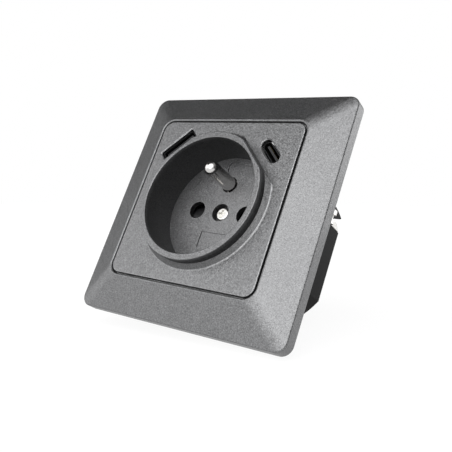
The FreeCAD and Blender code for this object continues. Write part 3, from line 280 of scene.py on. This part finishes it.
def new_tree(name, numbers):
    """An empty node group for shapes, with named inputs, its finish among them."""
    group = bpy.data.node_groups.new(name, "GeometryNodeTree")
    sockets = group.interface
    for label, kind, value in numbers:
        socket = sockets.new_socket(name=label, in_out="INPUT", socket_type=kind)
        if value is not None:
            socket.default_value = value
    for label in ("Place", "Turn"):
        sockets.new_socket(name=label, in_out="INPUT", socket_type=VECTOR)
    sockets.new_socket(name="Finish", in_out="INPUT", socket_type="NodeSocketMaterial")
    sockets.new_socket(name="Geometry", in_out="OUTPUT",
                       socket_type="NodeSocketGeometry")
    return group, group.nodes.new("NodeGroupInput").outputs


def close_tree(group, given, shape):
    """Puts the made shape in its place, makes it real and gives it its finish."""
    moved = node(group, "GeometryNodeTransform", None, Geometry=shape,
                 Translation=given["Place"], Rotation=given["Turn"]).outputs[0]
    real = node(group, "GeometryNodeRealizeInstances", None, Geometry=moved).outputs[0]
    done = node(group, "GeometryNodeSetMaterial", None, Geometry=real,
                Material=given["Finish"]).outputs[0]
    node(group, "NodeGroupOutput", None, Geometry=done)


def grow(name, group, material, settings):
    """Runs a tree once for each set of inputs and joins what it makes in one piece."""
    whole = bmesh.new()
    inputs = {item.name: item.identifier for item in group.interface.items_tree
              if item.in_out == "INPUT"}
    for values in settings:
        seed = bpy.data.objects.new(name + "_seed", bpy.data.meshes.new(name + "_seed"))
        bpy.context.collection.objects.link(seed)
        grower = seed.modifiers.new("shape", "NODES")
        grower.node_group = group
        for label, value in values.items():
            grower[inputs[label]] = value
        grower[inputs["Finish"]] = material
        bpy.context.view_layer.update()
        made = seed.evaluated_get(bpy.context.evaluated_depsgraph_get())
        grown = bpy.data.meshes.new_from_object(made)
        whole.from_mesh(grown)
        bpy.data.objects.remove(seed)
        bpy.data.meshes.remove(grown)
    for face in whole.faces:            # the grown mesh has an empty first slot
        face.material_index = 0
    piece_of(whole, name, material)


# A ridge wound round a shank along Z, with sides that slope to an edge.
thread, given = new_tree("screw_thread", (
    ("Length", FLOAT, 0.01), ("Radius", FLOAT, 0.0015), ("Pitch", FLOAT, 0.0005),
    ("Ridge", FLOAT, 0.00012), ("Sides", WHOLE, 4)))
rounds = calc(thread, "DIVIDE", given["Length"], given["Pitch"])
helix = node(thread, "GeometryNodeCurveSpiral", None, Resolution=28, Rotations=rounds,
             Start_Radius=given["Radius"], End_Radius=given["Radius"],
             Height=given["Length"]).outputs[0]
level_helix = node(thread, "GeometryNodeSetCurveNormal", {"mode": "Z_UP"},
                   Curve=helix).outputs[0]
section = node(thread, "GeometryNodeCurvePrimitiveCircle", {"mode": "RADIUS"},
               Resolution=given["Sides"], Radius=given["Ridge"]).outputs[0]
ridge = node(thread, "GeometryNodeCurveToMesh", None, Curve=level_helix,
             Profile_Curve=section, Fill_Caps=True).outputs[0]
close_tree(thread, given, ridge)

zinc = plated_steel("zinc_plate", ZINC)


def cut_threads(name, length, radius, pitch, ridge, places):
    """The threads of like zinc-plated screws, from each place into the wall."""
    grow(name, thread, zinc,
         [{"Length": length, "Radius": radius, "Pitch": pitch, "Ridge": ridge,
           "Sides": 4, "Place": place, "Turn": INWARD} for place in places])


finish_nodes(zinc, "cover_screw")
cut_threads("cover_screw_thread", length=0.0082, radius=0.00146, pitch=0.0006,
            ridge=0.00016, places=[(0.0, 0.0066, 0.0)])


# -------------------------------------------------------------- support frame
# The pressed steel frame that is screwed to the wall box and carries all the
# rest: galvanised sheet, 1.2 mm thick, with slots, tapped holes and turned-in
# lugs.

GALVANISED = (0.56, 0.57, 0.58)


def galvanised_sheet(name, colour):
    """Hot-dip zinc on sheet steel: large faint crystals and rolled-in scratches."""
    material, tree, place = blank_material(name)
    crystals = node(tree, "ShaderNodeTexVoronoi", None, Vector=place, Scale=340.0)
    tone = node(tree, "ShaderNodeSeparateColor", None,
                Color=crystals.outputs["Color"]).outputs[0]
    mix = blend(tree, tone, noise(tree, place, scale=2600.0, detail=3.0), 0.6)
    shade = tones(tree, mix, (0.15, toned(colour, 0.82)), (0.85, toned(colour, 1.12)))
    scratches = relief(tree, mix, strength=0.3, distance=0.00004)
    return skinned(material, shade, between(tree, mix, 0.28, 0.5), scratches, metal=1.0)


finish_nodes(galvanised_sheet("galvanised", GALVANISED), "support_frame")


# --------------------------------------------------- base housing, rear cover
# The two halves of the black case behind the wall: glass-filled polyamide with
# the fine matt skin of a spark-eroded mould. The rear cover is held by two
# screws and lets the wires in.

BLACK = (0.010, 0.010, 0.0105)
CASE_SCREW = 0.018372       # how far each screw lies out and down from the centre


def moulded_plastic(name, colour, roughness=(0.34, 0.5), grain=0.00028, depth=0.00002,
                    gloss=0.5):
    """Moulded plastic with the fine even skin of an eroded mould."""
    material, tree, place = blank_material(name)
    eroded = noise(tree, place, scale=1 / grain, detail=2.0, roughness=0.55)
    flow = noise(tree, place, scale=110.0, detail=4.0)
    shade = tones(tree, flow, (0.3, toned(colour, 0.85)), (0.7, toned(colour, 1.2)))
    return skinned(material, shade, uneven(tree, flow, *roughness),
                   relief(tree, eroded, strength=0.5, distance=depth), gloss=gloss)


finish_nodes(moulded_plastic("black_plastic", BLACK, (0.34, 0.46), gloss=0.05),
             "base_housing", "rear_cover")
finish_nodes(zinc, "case_screws")
cut_threads("case_screw_threads", length=0.0125, radius=0.00116, pitch=0.0011,
            ridge=0.00022,
            places=[(side * CASE_SCREW, 0.0185, -CASE_SCREW) for side in (-1, 1)])


# ------------------------------------------------------ earth pin, its strap
# The pin is turned brass with a nickel plate and a domed tip, riveted through
# the housing to a stamped brass strap that leads to the middle terminal.

NICKEL = (0.60, 0.59, 0.58)
BRASS = (0.80, 0.58, 0.25)
TERMINAL_BRASS = (0.76, 0.60, 0.33)


def turned_nickel(name, colour):
    """Nickel on turned brass: nearly smooth, with the finest rings of the lathe."""
    material, tree, place = blank_material(name)
    rings = node(tree, "ShaderNodeTexWave",
                 {"wave_type": "BANDS", "bands_direction": "Y"}, Vector=place,
                 Scale=1900.0, Distortion=0.6, Detail=1.0).outputs["Fac"]
    cloud = noise(tree, place, scale=420.0, detail=3.0)
    shade = tones(tree, cloud, (0.3, toned(colour, 0.9)), (0.7, toned(colour, 1.05)))
    return skinned(material, shade, uneven(tree, cloud, 0.15, 0.25),
                   relief(tree, rings, strength=0.12, distance=0.00001), metal=1.0)


def stamped_brass(name, colour):
    """Rolled and stamped brass strip: warm, with fine rolling lines and dull spots."""
    material, tree, place = blank_material(name)
    stretched = node(tree, "ShaderNodeMapping", None, Vector=place,
                     Scale=(6.0, 1.0, 1.0)).outputs[0]
    lines = noise(tree, stretched, scale=900.0, detail=3.0)
    spots = noise(tree, place, scale=320.0, detail=4.0)
    shade = tones(tree, spots, (0.3, toned(colour, 0.66)), (0.55, colour),
                  (0.8, toned(colour, 1.08)))
    return skinned(material, shade, uneven(tree, spots, 0.22, 0.44),
                   relief(tree, lines, strength=0.3, distance=0.00002), metal=1.0)


finish_nodes(turned_nickel("nickel_plate", NICKEL), "earth_pin")
finish_nodes(stamped_brass("brass_strip", BRASS),
             "earth_strap", "line_contact", "neutral_contact")
finish_nodes(stamped_brass("terminal_brass", TERMINAL_BRASS),
             "line_terminal", "earth_terminal", "neutral_terminal")
finish_nodes(zinc, "terminal_screws")


# ------------------------------------------------------- shutter, its spring
# The grey slide behind the two entries: plugs push its ramps, and a small coil
# spring of stainless wire brings it back.

# the grey slide's colour taken near black: painted shade of its place deep behind the
# entries
SHUTTER_SHADED = (0.016, 0.016, 0.017)
SPRING_STEEL = (0.62, 0.61, 0.60)

finish_nodes(moulded_plastic("shutter_plastic", SHUTTER_SHADED, (0.4, 0.55), gloss=0.3),
             "shutter")
finish_nodes(plated_steel("spring_wire", SPRING_STEEL, (0.2, 0.3)), "shutter_spring")
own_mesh(nodes["shutter_spring"])


# -------------------------------------------------------- claws, their screws
# The two spreading claws of stamped, zinc-plated steel on the housing's sides,
# drawn outwards by a long screw each until they bite in the wall box.

CLAW_STEEL = (0.72, 0.71, 0.69)
CLAW_SCREW_OUT, CLAW_SCREW_UP = 0.022435, 0.0128

finish_nodes(plated_steel("claw_plate", CLAW_STEEL, (0.2, 0.4)),
             "claw_right", "claw_left")
finish_nodes(zinc, "claw_screws")
cut_threads("claw_screw_threads", length=0.0158, radius=0.00136, pitch=0.0005,
            ridge=0.00014,
            places=[(side * CLAW_SCREW_OUT, 0.0034, side * CLAW_SCREW_UP)
                    for side in (-1, 1)])


# --------------------------------------------------- circuit boards and ports
# Two glass-fibre boards with green solder mask, one behind the ports and one at
# the back of the housing, joined by a row of pins. The ports are stamped steel
# shells with black plastic tongues.

MASK = (0.012, 0.075, 0.035)
TRACK_WALL = (0.04, 0.10)           # from a track's flat top to its foot
PINS_START = (0.00440, 0.00443)     # depth at which the pins leave their strip
STRIP_BLACK = (0.012, 0.012, 0.012), (0.022, 0.022, 0.022)  # its darkest, lightest
TIN = (0.55, 0.54, 0.51), (0.80, 0.78, 0.74)
# the shells' plated steel, darkened near black as painted shade inside the port
# openings
PORT_STEEL_SHADED = (0.030, 0.030, 0.031)
TONGUE_BLACK, TONGUE_GREY = (0.020, 0.020, 0.021), (0.022, 0.022, 0.023)
GOLD = (0.30, 0.235, 0.12)
SOLDER = (0.66, 0.66, 0.65)
RESIN = (0.014, 0.014, 0.015)


def either(tree, share, first, second):
    """The first colour where the share is 0, the second where it is 1."""
    return node(tree, "ShaderNodeMix", {"data_type": "RGBA"}, _0=share, _6=first,
                _7=second).outputs[2]


def solder_mask(name, colour):
    """Green solder mask over copper: tracks show as slightly lighter raised paths."""
    material, tree, place = blank_material(name)
    cells = node(tree, "ShaderNodeTexVoronoi",
                 {"distance": "MANHATTAN", "feature": "DISTANCE_TO_EDGE"},
                 Vector=place, Scale=420.0)
    track = between(tree, cells.outputs["Distance"], 1.0, 0.0, *TRACK_WALL)
    cloud = noise(tree, place, scale=500.0, detail=3.0)
    mix = blend(tree, track, cloud, 0.7)
    shade = tones(tree, mix, (0.1, toned(colour, 0.8)), (0.9, toned(colour, 2.1)))
    return skinned(material, shade, between(tree, cloud, 0.25, 0.4),
                   relief(tree, mix, strength=0.4, distance=0.00003))


def header_finish(name):
    """A black strip in front with tin-plated pins that run back out of it."""
    material, tree, place = blank_material(name)
    depth = node(tree, "ShaderNodeSeparateXYZ", None, Vector=place).outputs["Y"]
    metal = between(tree, depth, 0.0, 1.0, *PINS_START)
    grain = noise(tree, place, scale=2400.0, detail=3.0)
    strip, tin = (tones(tree, grain, (0.3, dark), (0.7, light))
                  for dark, light in (STRIP_BLACK, TIN))
    return skinned(material, either(tree, metal, strip, tin),
                   uneven(tree, grain, 0.25, 0.42),
                   relief(tree, grain, strength=0.2, distance=0.00002), metal=metal)


finish_nodes(solder_mask("solder_mask", MASK), "usb_board", "power_board")
finish_nodes(header_finish("header_pins"), "board_header")
# plated steel coloured near black: painted shade inside the ports
finish_nodes(plated_steel("port_steel", PORT_STEEL_SHADED, (0.52, 0.66)),
             "usb_a_shell", "usb_c_shell")
finish_nodes(moulded_plastic("tongue_black", TONGUE_BLACK, (0.22, 0.32)),
             "usb_a_tongue")
finish_nodes(moulded_plastic("tongue_grey", TONGUE_GREY, (0.3, 0.4), gloss=0.3),
             "usb_c_tongue")

# A row of thin bars with round edges, each along Y, a fixed step apart along X:
# the contacts of a port.
EDGE_SHARE = 0.35                   # radius of a bar's edges, as a share of its height
row, given = new_tree("bar_row", (
    ("Count", WHOLE, 4), ("Step", FLOAT, 0.001), ("Width", FLOAT, 0.0005),
    ("Length", FLOAT, 0.004), ("Height", FLOAT, 0.0002), ("Offset", VECTOR, None)))
run = node(row, "ShaderNodeCombineXYZ", None, Y=given["Length"]).outputs[0]
spine = node(row, "GeometryNodeCurvePrimitiveLine", None, End=run).outputs[0]
outline = node(row, "GeometryNodeCurvePrimitiveQuadrilateral", {"mode": "RECTANGLE"},
               Width=given["Width"], Height=given["Height"]).outputs[0]
round_edge = calc(row, "MULTIPLY", given["Height"], EDGE_SHARE)
soft_outline = node(row, "GeometryNodeFilletCurve", {"mode": "POLY"}, Curve=outline,
                    Count=3, Radius=round_edge).outputs[0]
level_spine = node(row, "GeometryNodeSetCurveNormal", {"mode": "Z_UP"},
                   Curve=spine).outputs[0]
bar = node(row, "GeometryNodeCurveToMesh", None, Curve=level_spine,
           Profile_Curve=soft_outline, Fill_Caps=True).outputs[0]
stride = node(row, "ShaderNodeCombineXYZ", None, X=given["Step"]).outputs[0]
posts = node(row, "GeometryNodeMeshLine", {"mode": "OFFSET", "count_mode": "TOTAL"},
             Count=given["Count"], Start_Location=given["Offset"],
             Offset=stride).outputs[0]
points = node(row, "GeometryNodeMeshToPoints", None, Mesh=posts).outputs[0]
bars = node(row, "GeometryNodeInstanceOnPoints", None, Points=points,
            Instance=bar).outputs[0]
close_tree(row, given, bars)

CENTRE = (0.0, 0.0, 0.0)
IN_PORT_A = {"Place": CENTRE, "Turn": (0.0, -math.pi / 4, 0.0)}
IN_PORT_C = {"Place": CENTRE, "Turn": (0.0, math.pi / 4, 0.0)}
A_STRIP = {"Count": 2, "Width": 0.0010, "Height": 0.00016, **IN_PORT_A}
C_STRIP = {"Count": 12, "Step": 0.0005, "Width": 0.00026, "Length": 0.0045,
           "Height": 0.00008, **IN_PORT_C}
C_TONGUE_MIDDLE, C_TONGUE_HALF = 0.0254, 0.00035
gold = stamped_brass("gold_flash", GOLD)
grow("usb_a_contacts", row, gold,
     [{"Step": 0.0020, "Length": 0.0062, "Offset": (-0.0010, -0.0066, 0.02619),
       **A_STRIP},
      {"Step": 0.0070, "Length": 0.0068, "Offset": (-0.0035, -0.0068, 0.02619),
       **A_STRIP}])
grow("usb_c_contacts", row, gold,
     [{"Offset": (-0.00275, -0.0066, C_TONGUE_MIDDLE + side * C_TONGUE_HALF),
       **C_STRIP} for side in (-1, 1)])

# middle (x, z), size (x, z) and height of each chip on the two boards
REAR_CHIPS = [((0.0148, -0.0050), (0.0050, 0.0040), 0.0015),
              ((-0.0190, -0.0020), (0.0046, 0.0058), 0.0024),
              ((0.0150, 0.0055), (0.0042, 0.0026), 0.0021),
              ((-0.0105, 0.0165), (0.0050, 0.0040), 0.0015)]
FRONT_CHIPS = [((0.0, 0.0240), (0.0030, 0.0017), 0.0011)]
# middle (x, z) and length of each resistor and ceramic capacitor
REAR_SMALL = [((0.0110, -0.0095), 0.0020), ((0.0150, -0.0095), 0.0020),
              ((0.0190, -0.0095), 0.0020), ((0.0195, 0.0000), 0.0016),
              ((-0.0190, 0.0060), 0.0020), ((-0.0145, 0.0200), 0.0016),
              ((-0.0060, 0.0200), 0.0016), ((0.0110, 0.0110), 0.0020)]
FRONT_SMALL = [((-0.0046, 0.0236), 0.0016), ((0.0046, 0.0236), 0.0016),
               ((-0.0075, 0.0232), 0.0016), ((0.0075, 0.0232), 0.0016)]
REAR, FRONT = (0.0222, 1), (0.0016, -1)     # a board's face along Y, and its way out
CHIP_LIFT, CHIP_EDGE = 0.00012, 0.00018
LEG_PITCH, LEG_HALF_WIDTH, LEG_HALF_LENGTH, LEG_OUT = 0.00127, 0.0002, 0.0006, 0.00045
SMALL_HALF, CAP_FROM_TO = 0.3, (0.28, 0.52)     # as shares of a small part's length
LEG_HEIGHTS, LEG_EDGE = (-0.00002, 0.0005), 0.00006
SMALL_HEIGHTS, SMALL_EDGE = (0.00002, 0.00062), 0.00008
CAP_HEIGHTS, CAP_EDGE = (-0.00002, 0.00055), 0.00009


def block(shape, board, x, z, heights, bevel):
    """A bevelled block on a board's face, each size from one end to the other."""
    face, out = board
    y = sorted(face + out * height for height in heights)
    low, high = (Vector(end) for end in zip(x, y, z))
    middle, size = (low + high) / 2, high - low
    made = bmesh.ops.create_cube(shape, size=1.0)
    for corner in made["verts"]:
        corner.co = middle + Vector(corner.co[i] * size[i] for i in range(3))
    edges = {edge for corner in made["verts"] for edge in corner.link_edges}
    bmesh.ops.bevel(shape, geom=list(edges), offset=bevel, segments=2, profile=0.5,
                    affect="EDGES")


def about(middle, half):
    """From one end to the other of a size round its middle."""
    return middle - half, middle + half


parts, ends = bmesh.new(), bmesh.new()
for board, places in ((REAR, REAR_CHIPS), (FRONT, FRONT_CHIPS)):
    for (x, z), (wide, tall), height in places:
        block(parts, board, about(x, wide / 2), about(z, tall / 2),
              (CHIP_LIFT, height), CHIP_EDGE)
        legs = max(2, int(wide / LEG_PITCH))
        for leg in range(legs):
            at = x + (leg - (legs - 1) / 2) * wide / legs
            for way in (-1, 1):
                foot = z + way * (tall / 2 + LEG_OUT)
                block(ends, board, about(at, LEG_HALF_WIDTH),
                      about(foot, LEG_HALF_LENGTH), LEG_HEIGHTS, LEG_EDGE)
for board, places in ((REAR, REAR_SMALL), (FRONT, FRONT_SMALL)):
    for (x, z), length in places:
        block(parts, board, about(x, length * SMALL_HALF), about(z, length / 4),
              SMALL_HEIGHTS, SMALL_EDGE)
        for way in (-1, 1):
            cap = sorted(x + way * length * share for share in CAP_FROM_TO)
            block(ends, board, cap, about(z, length / 4), CAP_HEIGHTS, CAP_EDGE)
resin = moulded_plastic("chip_resin", RESIN, (0.42, 0.55))
solder = plated_steel("solder", SOLDER, (0.22, 0.38))
piece_of(parts, "board_parts", resin)
piece_of(ends, "board_solder", solder)


# ------------------------------------------------ transformer and capacitors
# A ferrite core closed round a copper winding and wrapped in one turn of yellow
# tape, and two aluminium cans in shrunk sleeves that lie on the rear board.

FERRITE = (0.045, 0.043, 0.042)
COPPER = (0.62, 0.24, 0.10)
YELLOW = (0.72, 0.47, 0.04)
SLEEVE = (0.012, 0.018, 0.060)
STRIPE = (0.50, 0.51, 0.52), (0.60, 0.61, 0.62)     # its darkest, its lightest
STRIPE_HALF = (0.00105, 0.00112)                    # half its width, to its soft edge
BARE_CAN = (0.70, 0.70, 0.71)
WINDING_LENGTH = 0.0056
TAPE_HALF, TAPE_CORNER = 0.0024, 0.0006     # half its width, the core's round corner
CORNER_PARTS = 4                            # straight parts of a round corner
TAPE_INSIDE, TAPE_OUTSIDE = -0.00004, 0.00012

core_low, core_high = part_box("transformer")
core = [(low + high) / 2 for low, high in zip(core_low, core_high)]
finish_nodes(moulded_plastic("ferrite", FERRITE, (0.45, 0.6), grain=0.00016,
                             depth=0.00004), "transformer")
grow("transformer_winding", thread, stamped_brass("enamelled_copper", COPPER),
     [{"Length": WINDING_LENGTH, "Radius": 0.0040, "Pitch": 0.00036, "Ridge": 0.00018,
       "Sides": 8, "Place": (core[0], core[1], core[2] - WINDING_LENGTH / 2),
       "Turn": CENTRE}])


def taped(name, colour):
    """Thin glossy tape with faint creases across it."""
    material, tree, place = blank_material(name)
    creases = noise(tree, place, scale=700.0, detail=3.0)
    shade = tones(tree, creases, (0.3, toned(colour, 0.8)), (0.7, colour))
    return skinned(material, shade, uneven(tree, creases, 0.16, 0.30),
                   relief(tree, creases, strength=0.4, distance=0.00005))


def wall(shape, one, two):
    """A row of faces that joins two loops with as many corners."""
    for step in range(len(one)):
        after = (step + 1) % len(one)
        shape.faces.new((one[step], two[step], two[after], one[after]))


def tape_loop(shape, depth, lift):
    """A loop round the core at one depth, with round corners."""
    loop = []
    for side_x, side_z, begin in ((1, 1, 0), (-1, 1, 90), (-1, -1, 180), (1, -1, 270)):
        corner_x = (core_high if side_x > 0 else core_low)[0] - side_x * TAPE_CORNER
        corner_z = (core_high if side_z > 0 else core_low)[2] - side_z * TAPE_CORNER
        for part in range(CORNER_PARTS + 1):
            turn = math.radians(begin + part * 90 / CORNER_PARTS)
            reach = TAPE_CORNER + lift
            loop.append(shape.verts.new((corner_x + reach * math.cos(turn), depth,
                                         corner_z + reach * math.sin(turn))))
    return loop


tape = bmesh.new()
loops = [tape_loop(tape, core[1] + way * TAPE_HALF, lift)
         for way, lift in ((-1, TAPE_INSIDE), (-1, TAPE_OUTSIDE),
                           (1, TAPE_OUTSIDE), (1, TAPE_INSIDE))]
for one, two in zip(loops, loops[1:] + loops[:1]):
    wall(tape, one, two)
piece_of(tape, "transformer_tape", taped("yellow_tape", YELLOW))


def shrunk_sleeve(name, colour, centre, along):
    """A glossy sleeve: dark, with one pale stripe along the can for its minus side."""
    material, tree, place = blank_material(name)
    parts = node(tree, "ShaderNodeSeparateXYZ", None, Vector=place).outputs
    across = parts["X"] if along == "Z" else parts["Z"]
    offset = calc(tree, "ABSOLUTE", calc(tree, "SUBTRACT", across, centre))
    stripe = between(tree, offset, 1.0, 0.0, *STRIPE_HALF)
    cloud = noise(tree, place, scale=380.0, detail=3.0)
    ground, pale = (tones(tree, cloud, (0.3, dark), (0.7, light)) for dark, light in
                    ((toned(colour, 0.85), toned(colour, 1.15)), STRIPE))
    return skinned(material, either(tree, stripe, ground, pale),
                   uneven(tree, cloud, 0.2, 0.32),
                   relief(tree, cloud, strength=0.25, distance=0.00004))


def ring(shape, centre, side, third, radius, steps):
    """A round loop of corners in the plane of two directions."""
    corners = []
    for k in range(steps):
        turn = 2 * math.pi * k / steps
        way = side * math.cos(turn) + third * math.sin(turn)
        corners.append(shape.verts.new(centre + way * radius))
    return corners


# share of the can's radius and height of each round of its rim
RIM = ((0.93, -0.00004), (0.90, 0.00010), (0.82, 0.00010), (0.78, 0.0))
RIM_STEPS = 48
# the scored lines: their reach as a share of the radius, half width, top and depth
SCORE_REACH, SCORE_HALF, SCORE_TOP, SCORE_DEPTH = 0.6, 0.00009, 0.00003, 0.00006


def can_top(shape, radius, centre, way):
    """The bare end of a can: a shallow dish in a rolled rim, scored with a cross."""
    centre, way = Vector(centre), Vector(way)
    side = way.orthogonal().normalized()
    third = way.cross(side)
    rings = [ring(shape, centre + way * rise, side, third, radius * share, RIM_STEPS)
             for share, rise in RIM]
    for inner, outer in zip(rings, rings[1:]):
        wall(shape, inner, outer)
    middle = shape.verts.new(centre)
    last = rings[-1]
    for corner, after in zip(last, last[1:] + last[:1]):
        shape.faces.new((corner, middle, after))
    for line in (side, third):
        across = way.cross(line)
        corners = [centre + line * a * radius * SCORE_REACH + across * b * SCORE_HALF
                   + way * SCORE_TOP for a, b in ((-1, -1), (1, -1), (1, 1), (-1, 1))]
        top = [shape.verts.new(point) for point in corners]
        low = [shape.verts.new(point - way * SCORE_DEPTH) for point in corners]
        shape.faces.new(top)
        shape.faces.new(low[::-1])
        for k in range(4):
            after = (k + 1) % 4
            shape.faces.new((low[k], low[after], top[after], top[k]))


def lead(shape, points, radius=0.0003, steps=10):
    """A round wire through a few points, its bends kept short."""
    rings = []
    for index, point in enumerate(points):
        before = Vector(points[max(index - 1, 0)])
        after = Vector(points[min(index + 1, len(points) - 1)])
        way = (after - before).normalized()
        side = Vector((1, 0, 0)) if abs(way.x) < 0.5 else Vector((0, 0, 1))
        side = (side - way * side.dot(way)).normalized()
        rings.append(ring(shape, Vector(point), side, way.cross(side), radius, steps))
    for one, two in zip(rings, rings[1:]):
        wall(shape, one, two)
    shape.faces.new(rings[0][::-1])
    shape.faces.new(rings[-1])


INPUT_RADIUS, OUTPUT_RADIUS = 0.0039, 0.0030
INPUT_CAN_X, INPUT_CAN_Y, INPUT_CAN_TOP = -0.0110, 0.0261, 0.00602
OUTPUT_CAN_TOP, OUTPUT_CAN_Y, OUTPUT_CAN_Z = 0.00702, 0.0252, 0.0165
finish_nodes(shrunk_sleeve("sleeve_in", SLEEVE, INPUT_CAN_X, "Z"), "input_capacitor")
finish_nodes(shrunk_sleeve("sleeve_out", SLEEVE, OUTPUT_CAN_Z, "X"), "output_capacitor")

tops = bmesh.new()
can_top(tops, INPUT_RADIUS, (INPUT_CAN_X, INPUT_CAN_Y, INPUT_CAN_TOP), (0, 0, 1))
can_top(tops, OUTPUT_RADIUS, (OUTPUT_CAN_TOP, OUTPUT_CAN_Y, OUTPUT_CAN_Z), (1, 0, 0))
piece_of(tops, "capacitor_tops", plated_steel("bare_can", BARE_CAN, (0.25, 0.4)))

# the wires leave each can straight, bend towards the board and end in it: the
# (Y, Z) points of the input can's and the (X, Y) points of the output can's
INPUT_LEADS_X, OUTPUT_LEADS_Z = (-0.0128, -0.0092), (0.0153, 0.0177)
INPUT_WAY = ((0.0261, -0.0068), (0.0261, -0.0080), (0.0257, -0.0086),
             (0.0251, -0.0088), (0.0219, -0.0088))
OUTPUT_WAY = ((-0.0018, 0.0252), (-0.0028, 0.0252), (-0.0034, 0.0248),
              (-0.0036, 0.0242), (-0.0036, 0.0219))
leads = bmesh.new()
for x in INPUT_LEADS_X:
    lead(leads, [(x, y, z) for y, z in INPUT_WAY])
for z in OUTPUT_LEADS_Z:
    lead(leads, [(x, y, z) for x, y in OUTPUT_WAY])
piece_of(leads, "capacitor_leads", solder, smooth=True)


# ------------------------------------------------- floor, light and the camera
# A pale floor under the socket's lowest edges, a dim studio round it with five
# soft boxes and four dark flags, and the camera of the picture.

FLOOR_NORMAL = Vector((-0.056, -0.460, 0.886)).normalized()
FLOOR_OFFSET = -0.0388
FLOOR_REACH = 0.9
FLOOR_PALE = (0.86, 0.86, 0.86, 1.0)        # as it lights the socket
FLOOR_SEEN = (0.12, 0.12, 0.12, 1.0)        # the lit part of what the camera sees
FLOOR_GLOW = 0.92                           # and the part that no shadow reaches
WHITE = (1, 1, 1, 1)


def seen_as(tree, *kinds):
    """1 where a ray of one of these kinds looks, and 0 elsewhere."""
    rays = node(tree, "ShaderNodeLightPath").outputs
    found = rays[f"Is {kinds[-1]} Ray"]
    for kind in kinds[-2::-1]:
        found = calc(tree, "ADD", rays[f"Is {kind} Ray"], found, kind == kinds[0])
    return found


floor_shape = bmesh.new()
across = FLOOR_NORMAL.cross(Vector((0, 1, 0))).normalized()
deep = FLOOR_NORMAL.cross(across).normalized()
middle = FLOOR_NORMAL * FLOOR_OFFSET
corners = [middle + across * a * FLOOR_REACH + deep * b * FLOOR_REACH
           for a, b in ((-1, -1), (1, -1), (1, 1), (-1, 1))]
floor_face = floor_shape.faces.new([floor_shape.verts.new(c) for c in corners])
floor_face.normal_update()
if floor_face.normal.dot(FLOOR_NORMAL) < 0:
    floor_face.normal_flip()
floor_mesh = bpy.data.meshes.new("floor")
floor_shape.to_mesh(floor_mesh)
floor_shape.free()
floor = bpy.data.objects.new("floor", floor_mesh)
bpy.context.collection.objects.link(floor)

pale = bpy.data.materials.new("pale_floor")
pale.use_nodes = True
tree = pale.node_tree
tree.nodes.clear()
lit = node(tree, "ShaderNodeBsdfDiffuse", None, Color=FLOOR_PALE).outputs[0]
part_lit = node(tree, "ShaderNodeBsdfDiffuse", None, Color=FLOOR_SEEN).outputs[0]
glow = node(tree, "ShaderNodeEmission", None, Color=WHITE, Strength=FLOOR_GLOW)
shown = node(tree, "ShaderNodeAddShader", None, _0=part_lit, _1=glow.outputs[0])
front = node(tree, "ShaderNodeMixShader", None,
             Fac=seen_as(tree, "Camera", "Glossy", "Transmission"), _1=lit,
             _2=shown.outputs[0])
clear = node(tree, "ShaderNodeBsdfTransparent")
side = node(tree, "ShaderNodeNewGeometry").outputs["Backfacing"]
whole = node(tree, "ShaderNodeMixShader", None, Fac=side, _1=front.outputs[0],
             _2=clear.outputs[0])
node(tree, "ShaderNodeOutputMaterial", None, Surface=whole.outputs[0])
floor_mesh.materials.append(pale)

STUDIO_LEVEL, STUDIO_DARKEST = 0.35, 0.02
# direction, angles in degrees of its even middle and of its outer edge, gain
SOFT_PLACES = [
    ((0.08, -0.96, 0.27), 8, 45, 3.20),
    ((0.00, -0.90, -0.40), 10, 45, 1.20),
    ((0.60, 0.745, 0.29), 10, 45, 2.80),
    ((-0.80, -0.60, 0.05), 8, 35, 2.10),
    ((0.50, -0.83, 0.20), 5, 30, 0.50),
    ((-0.42, -0.74, 0.53), 8, 35, -0.95),
    ((-0.70, -0.65, -0.25), 10, 45, -0.30),
    ((-0.60, -0.02, 0.80), 14, 55, -0.50),
    ((0.95, -0.10, 0.30), 8, 35, -0.28),
]
studio = bpy.data.worlds.new("studio")
bpy.context.scene.world = studio
studio.use_nodes = True
tree = studio.node_tree
tree.nodes.clear()
toward = node(tree, "ShaderNodeTexCoord").outputs["Generated"]
level = STUDIO_LEVEL
for direction, inner, outer, gain in SOFT_PLACES:
    dot = node(tree, "ShaderNodeVectorMath", {"operation": "DOT_PRODUCT"}, _0=toward,
               _1=Vector(direction).normalized()).outputs["Value"]
    spread = node(tree, "ShaderNodeMapRange", {"interpolation_type": "SMOOTHSTEP"},
                  Value=dot, From_Min=math.cos(math.radians(outer)),
                  From_Max=math.cos(math.radians(inner)), To_Min=0.0, To_Max=gain)
    level = calc(tree, "ADD", level, spread.outputs["Result"])
level = calc(tree, "MAXIMUM", level, STUDIO_DARKEST)
strength = node(tree, "ShaderNodeMix", {"data_type": "FLOAT"},
                _0=seen_as(tree, "Camera", "Transmission"), _2=level, _3=1.0)
air = node(tree, "ShaderNodeBackground", None, Color=WHITE,
           Strength=strength.outputs[0])
node(tree, "ShaderNodeOutputWorld", None, Surface=air.outputs[0])

CAMERA_PLACE = (0.122354, -0.151990, -0.059011)
CAMERA_TURN = (106.5998, -18.3157, 32.3420)     # degrees
eye = bpy.data.cameras.new("camera")
eye.sensor_width = 36.0
eye.lens = 50.4376
eye.shift_x, eye.shift_y = -0.0010, 0.0017
eye.clip_start = 0.01
camera = bpy.data.objects.new("camera", eye)
camera.location = CAMERA_PLACE
camera.rotation_euler = [math.radians(a) for a in CAMERA_TURN]
bpy.context.collection.objects.link(camera)
bpy.context.scene.camera = camera

bpy.context.scene.view_settings.view_transform = "Standard"
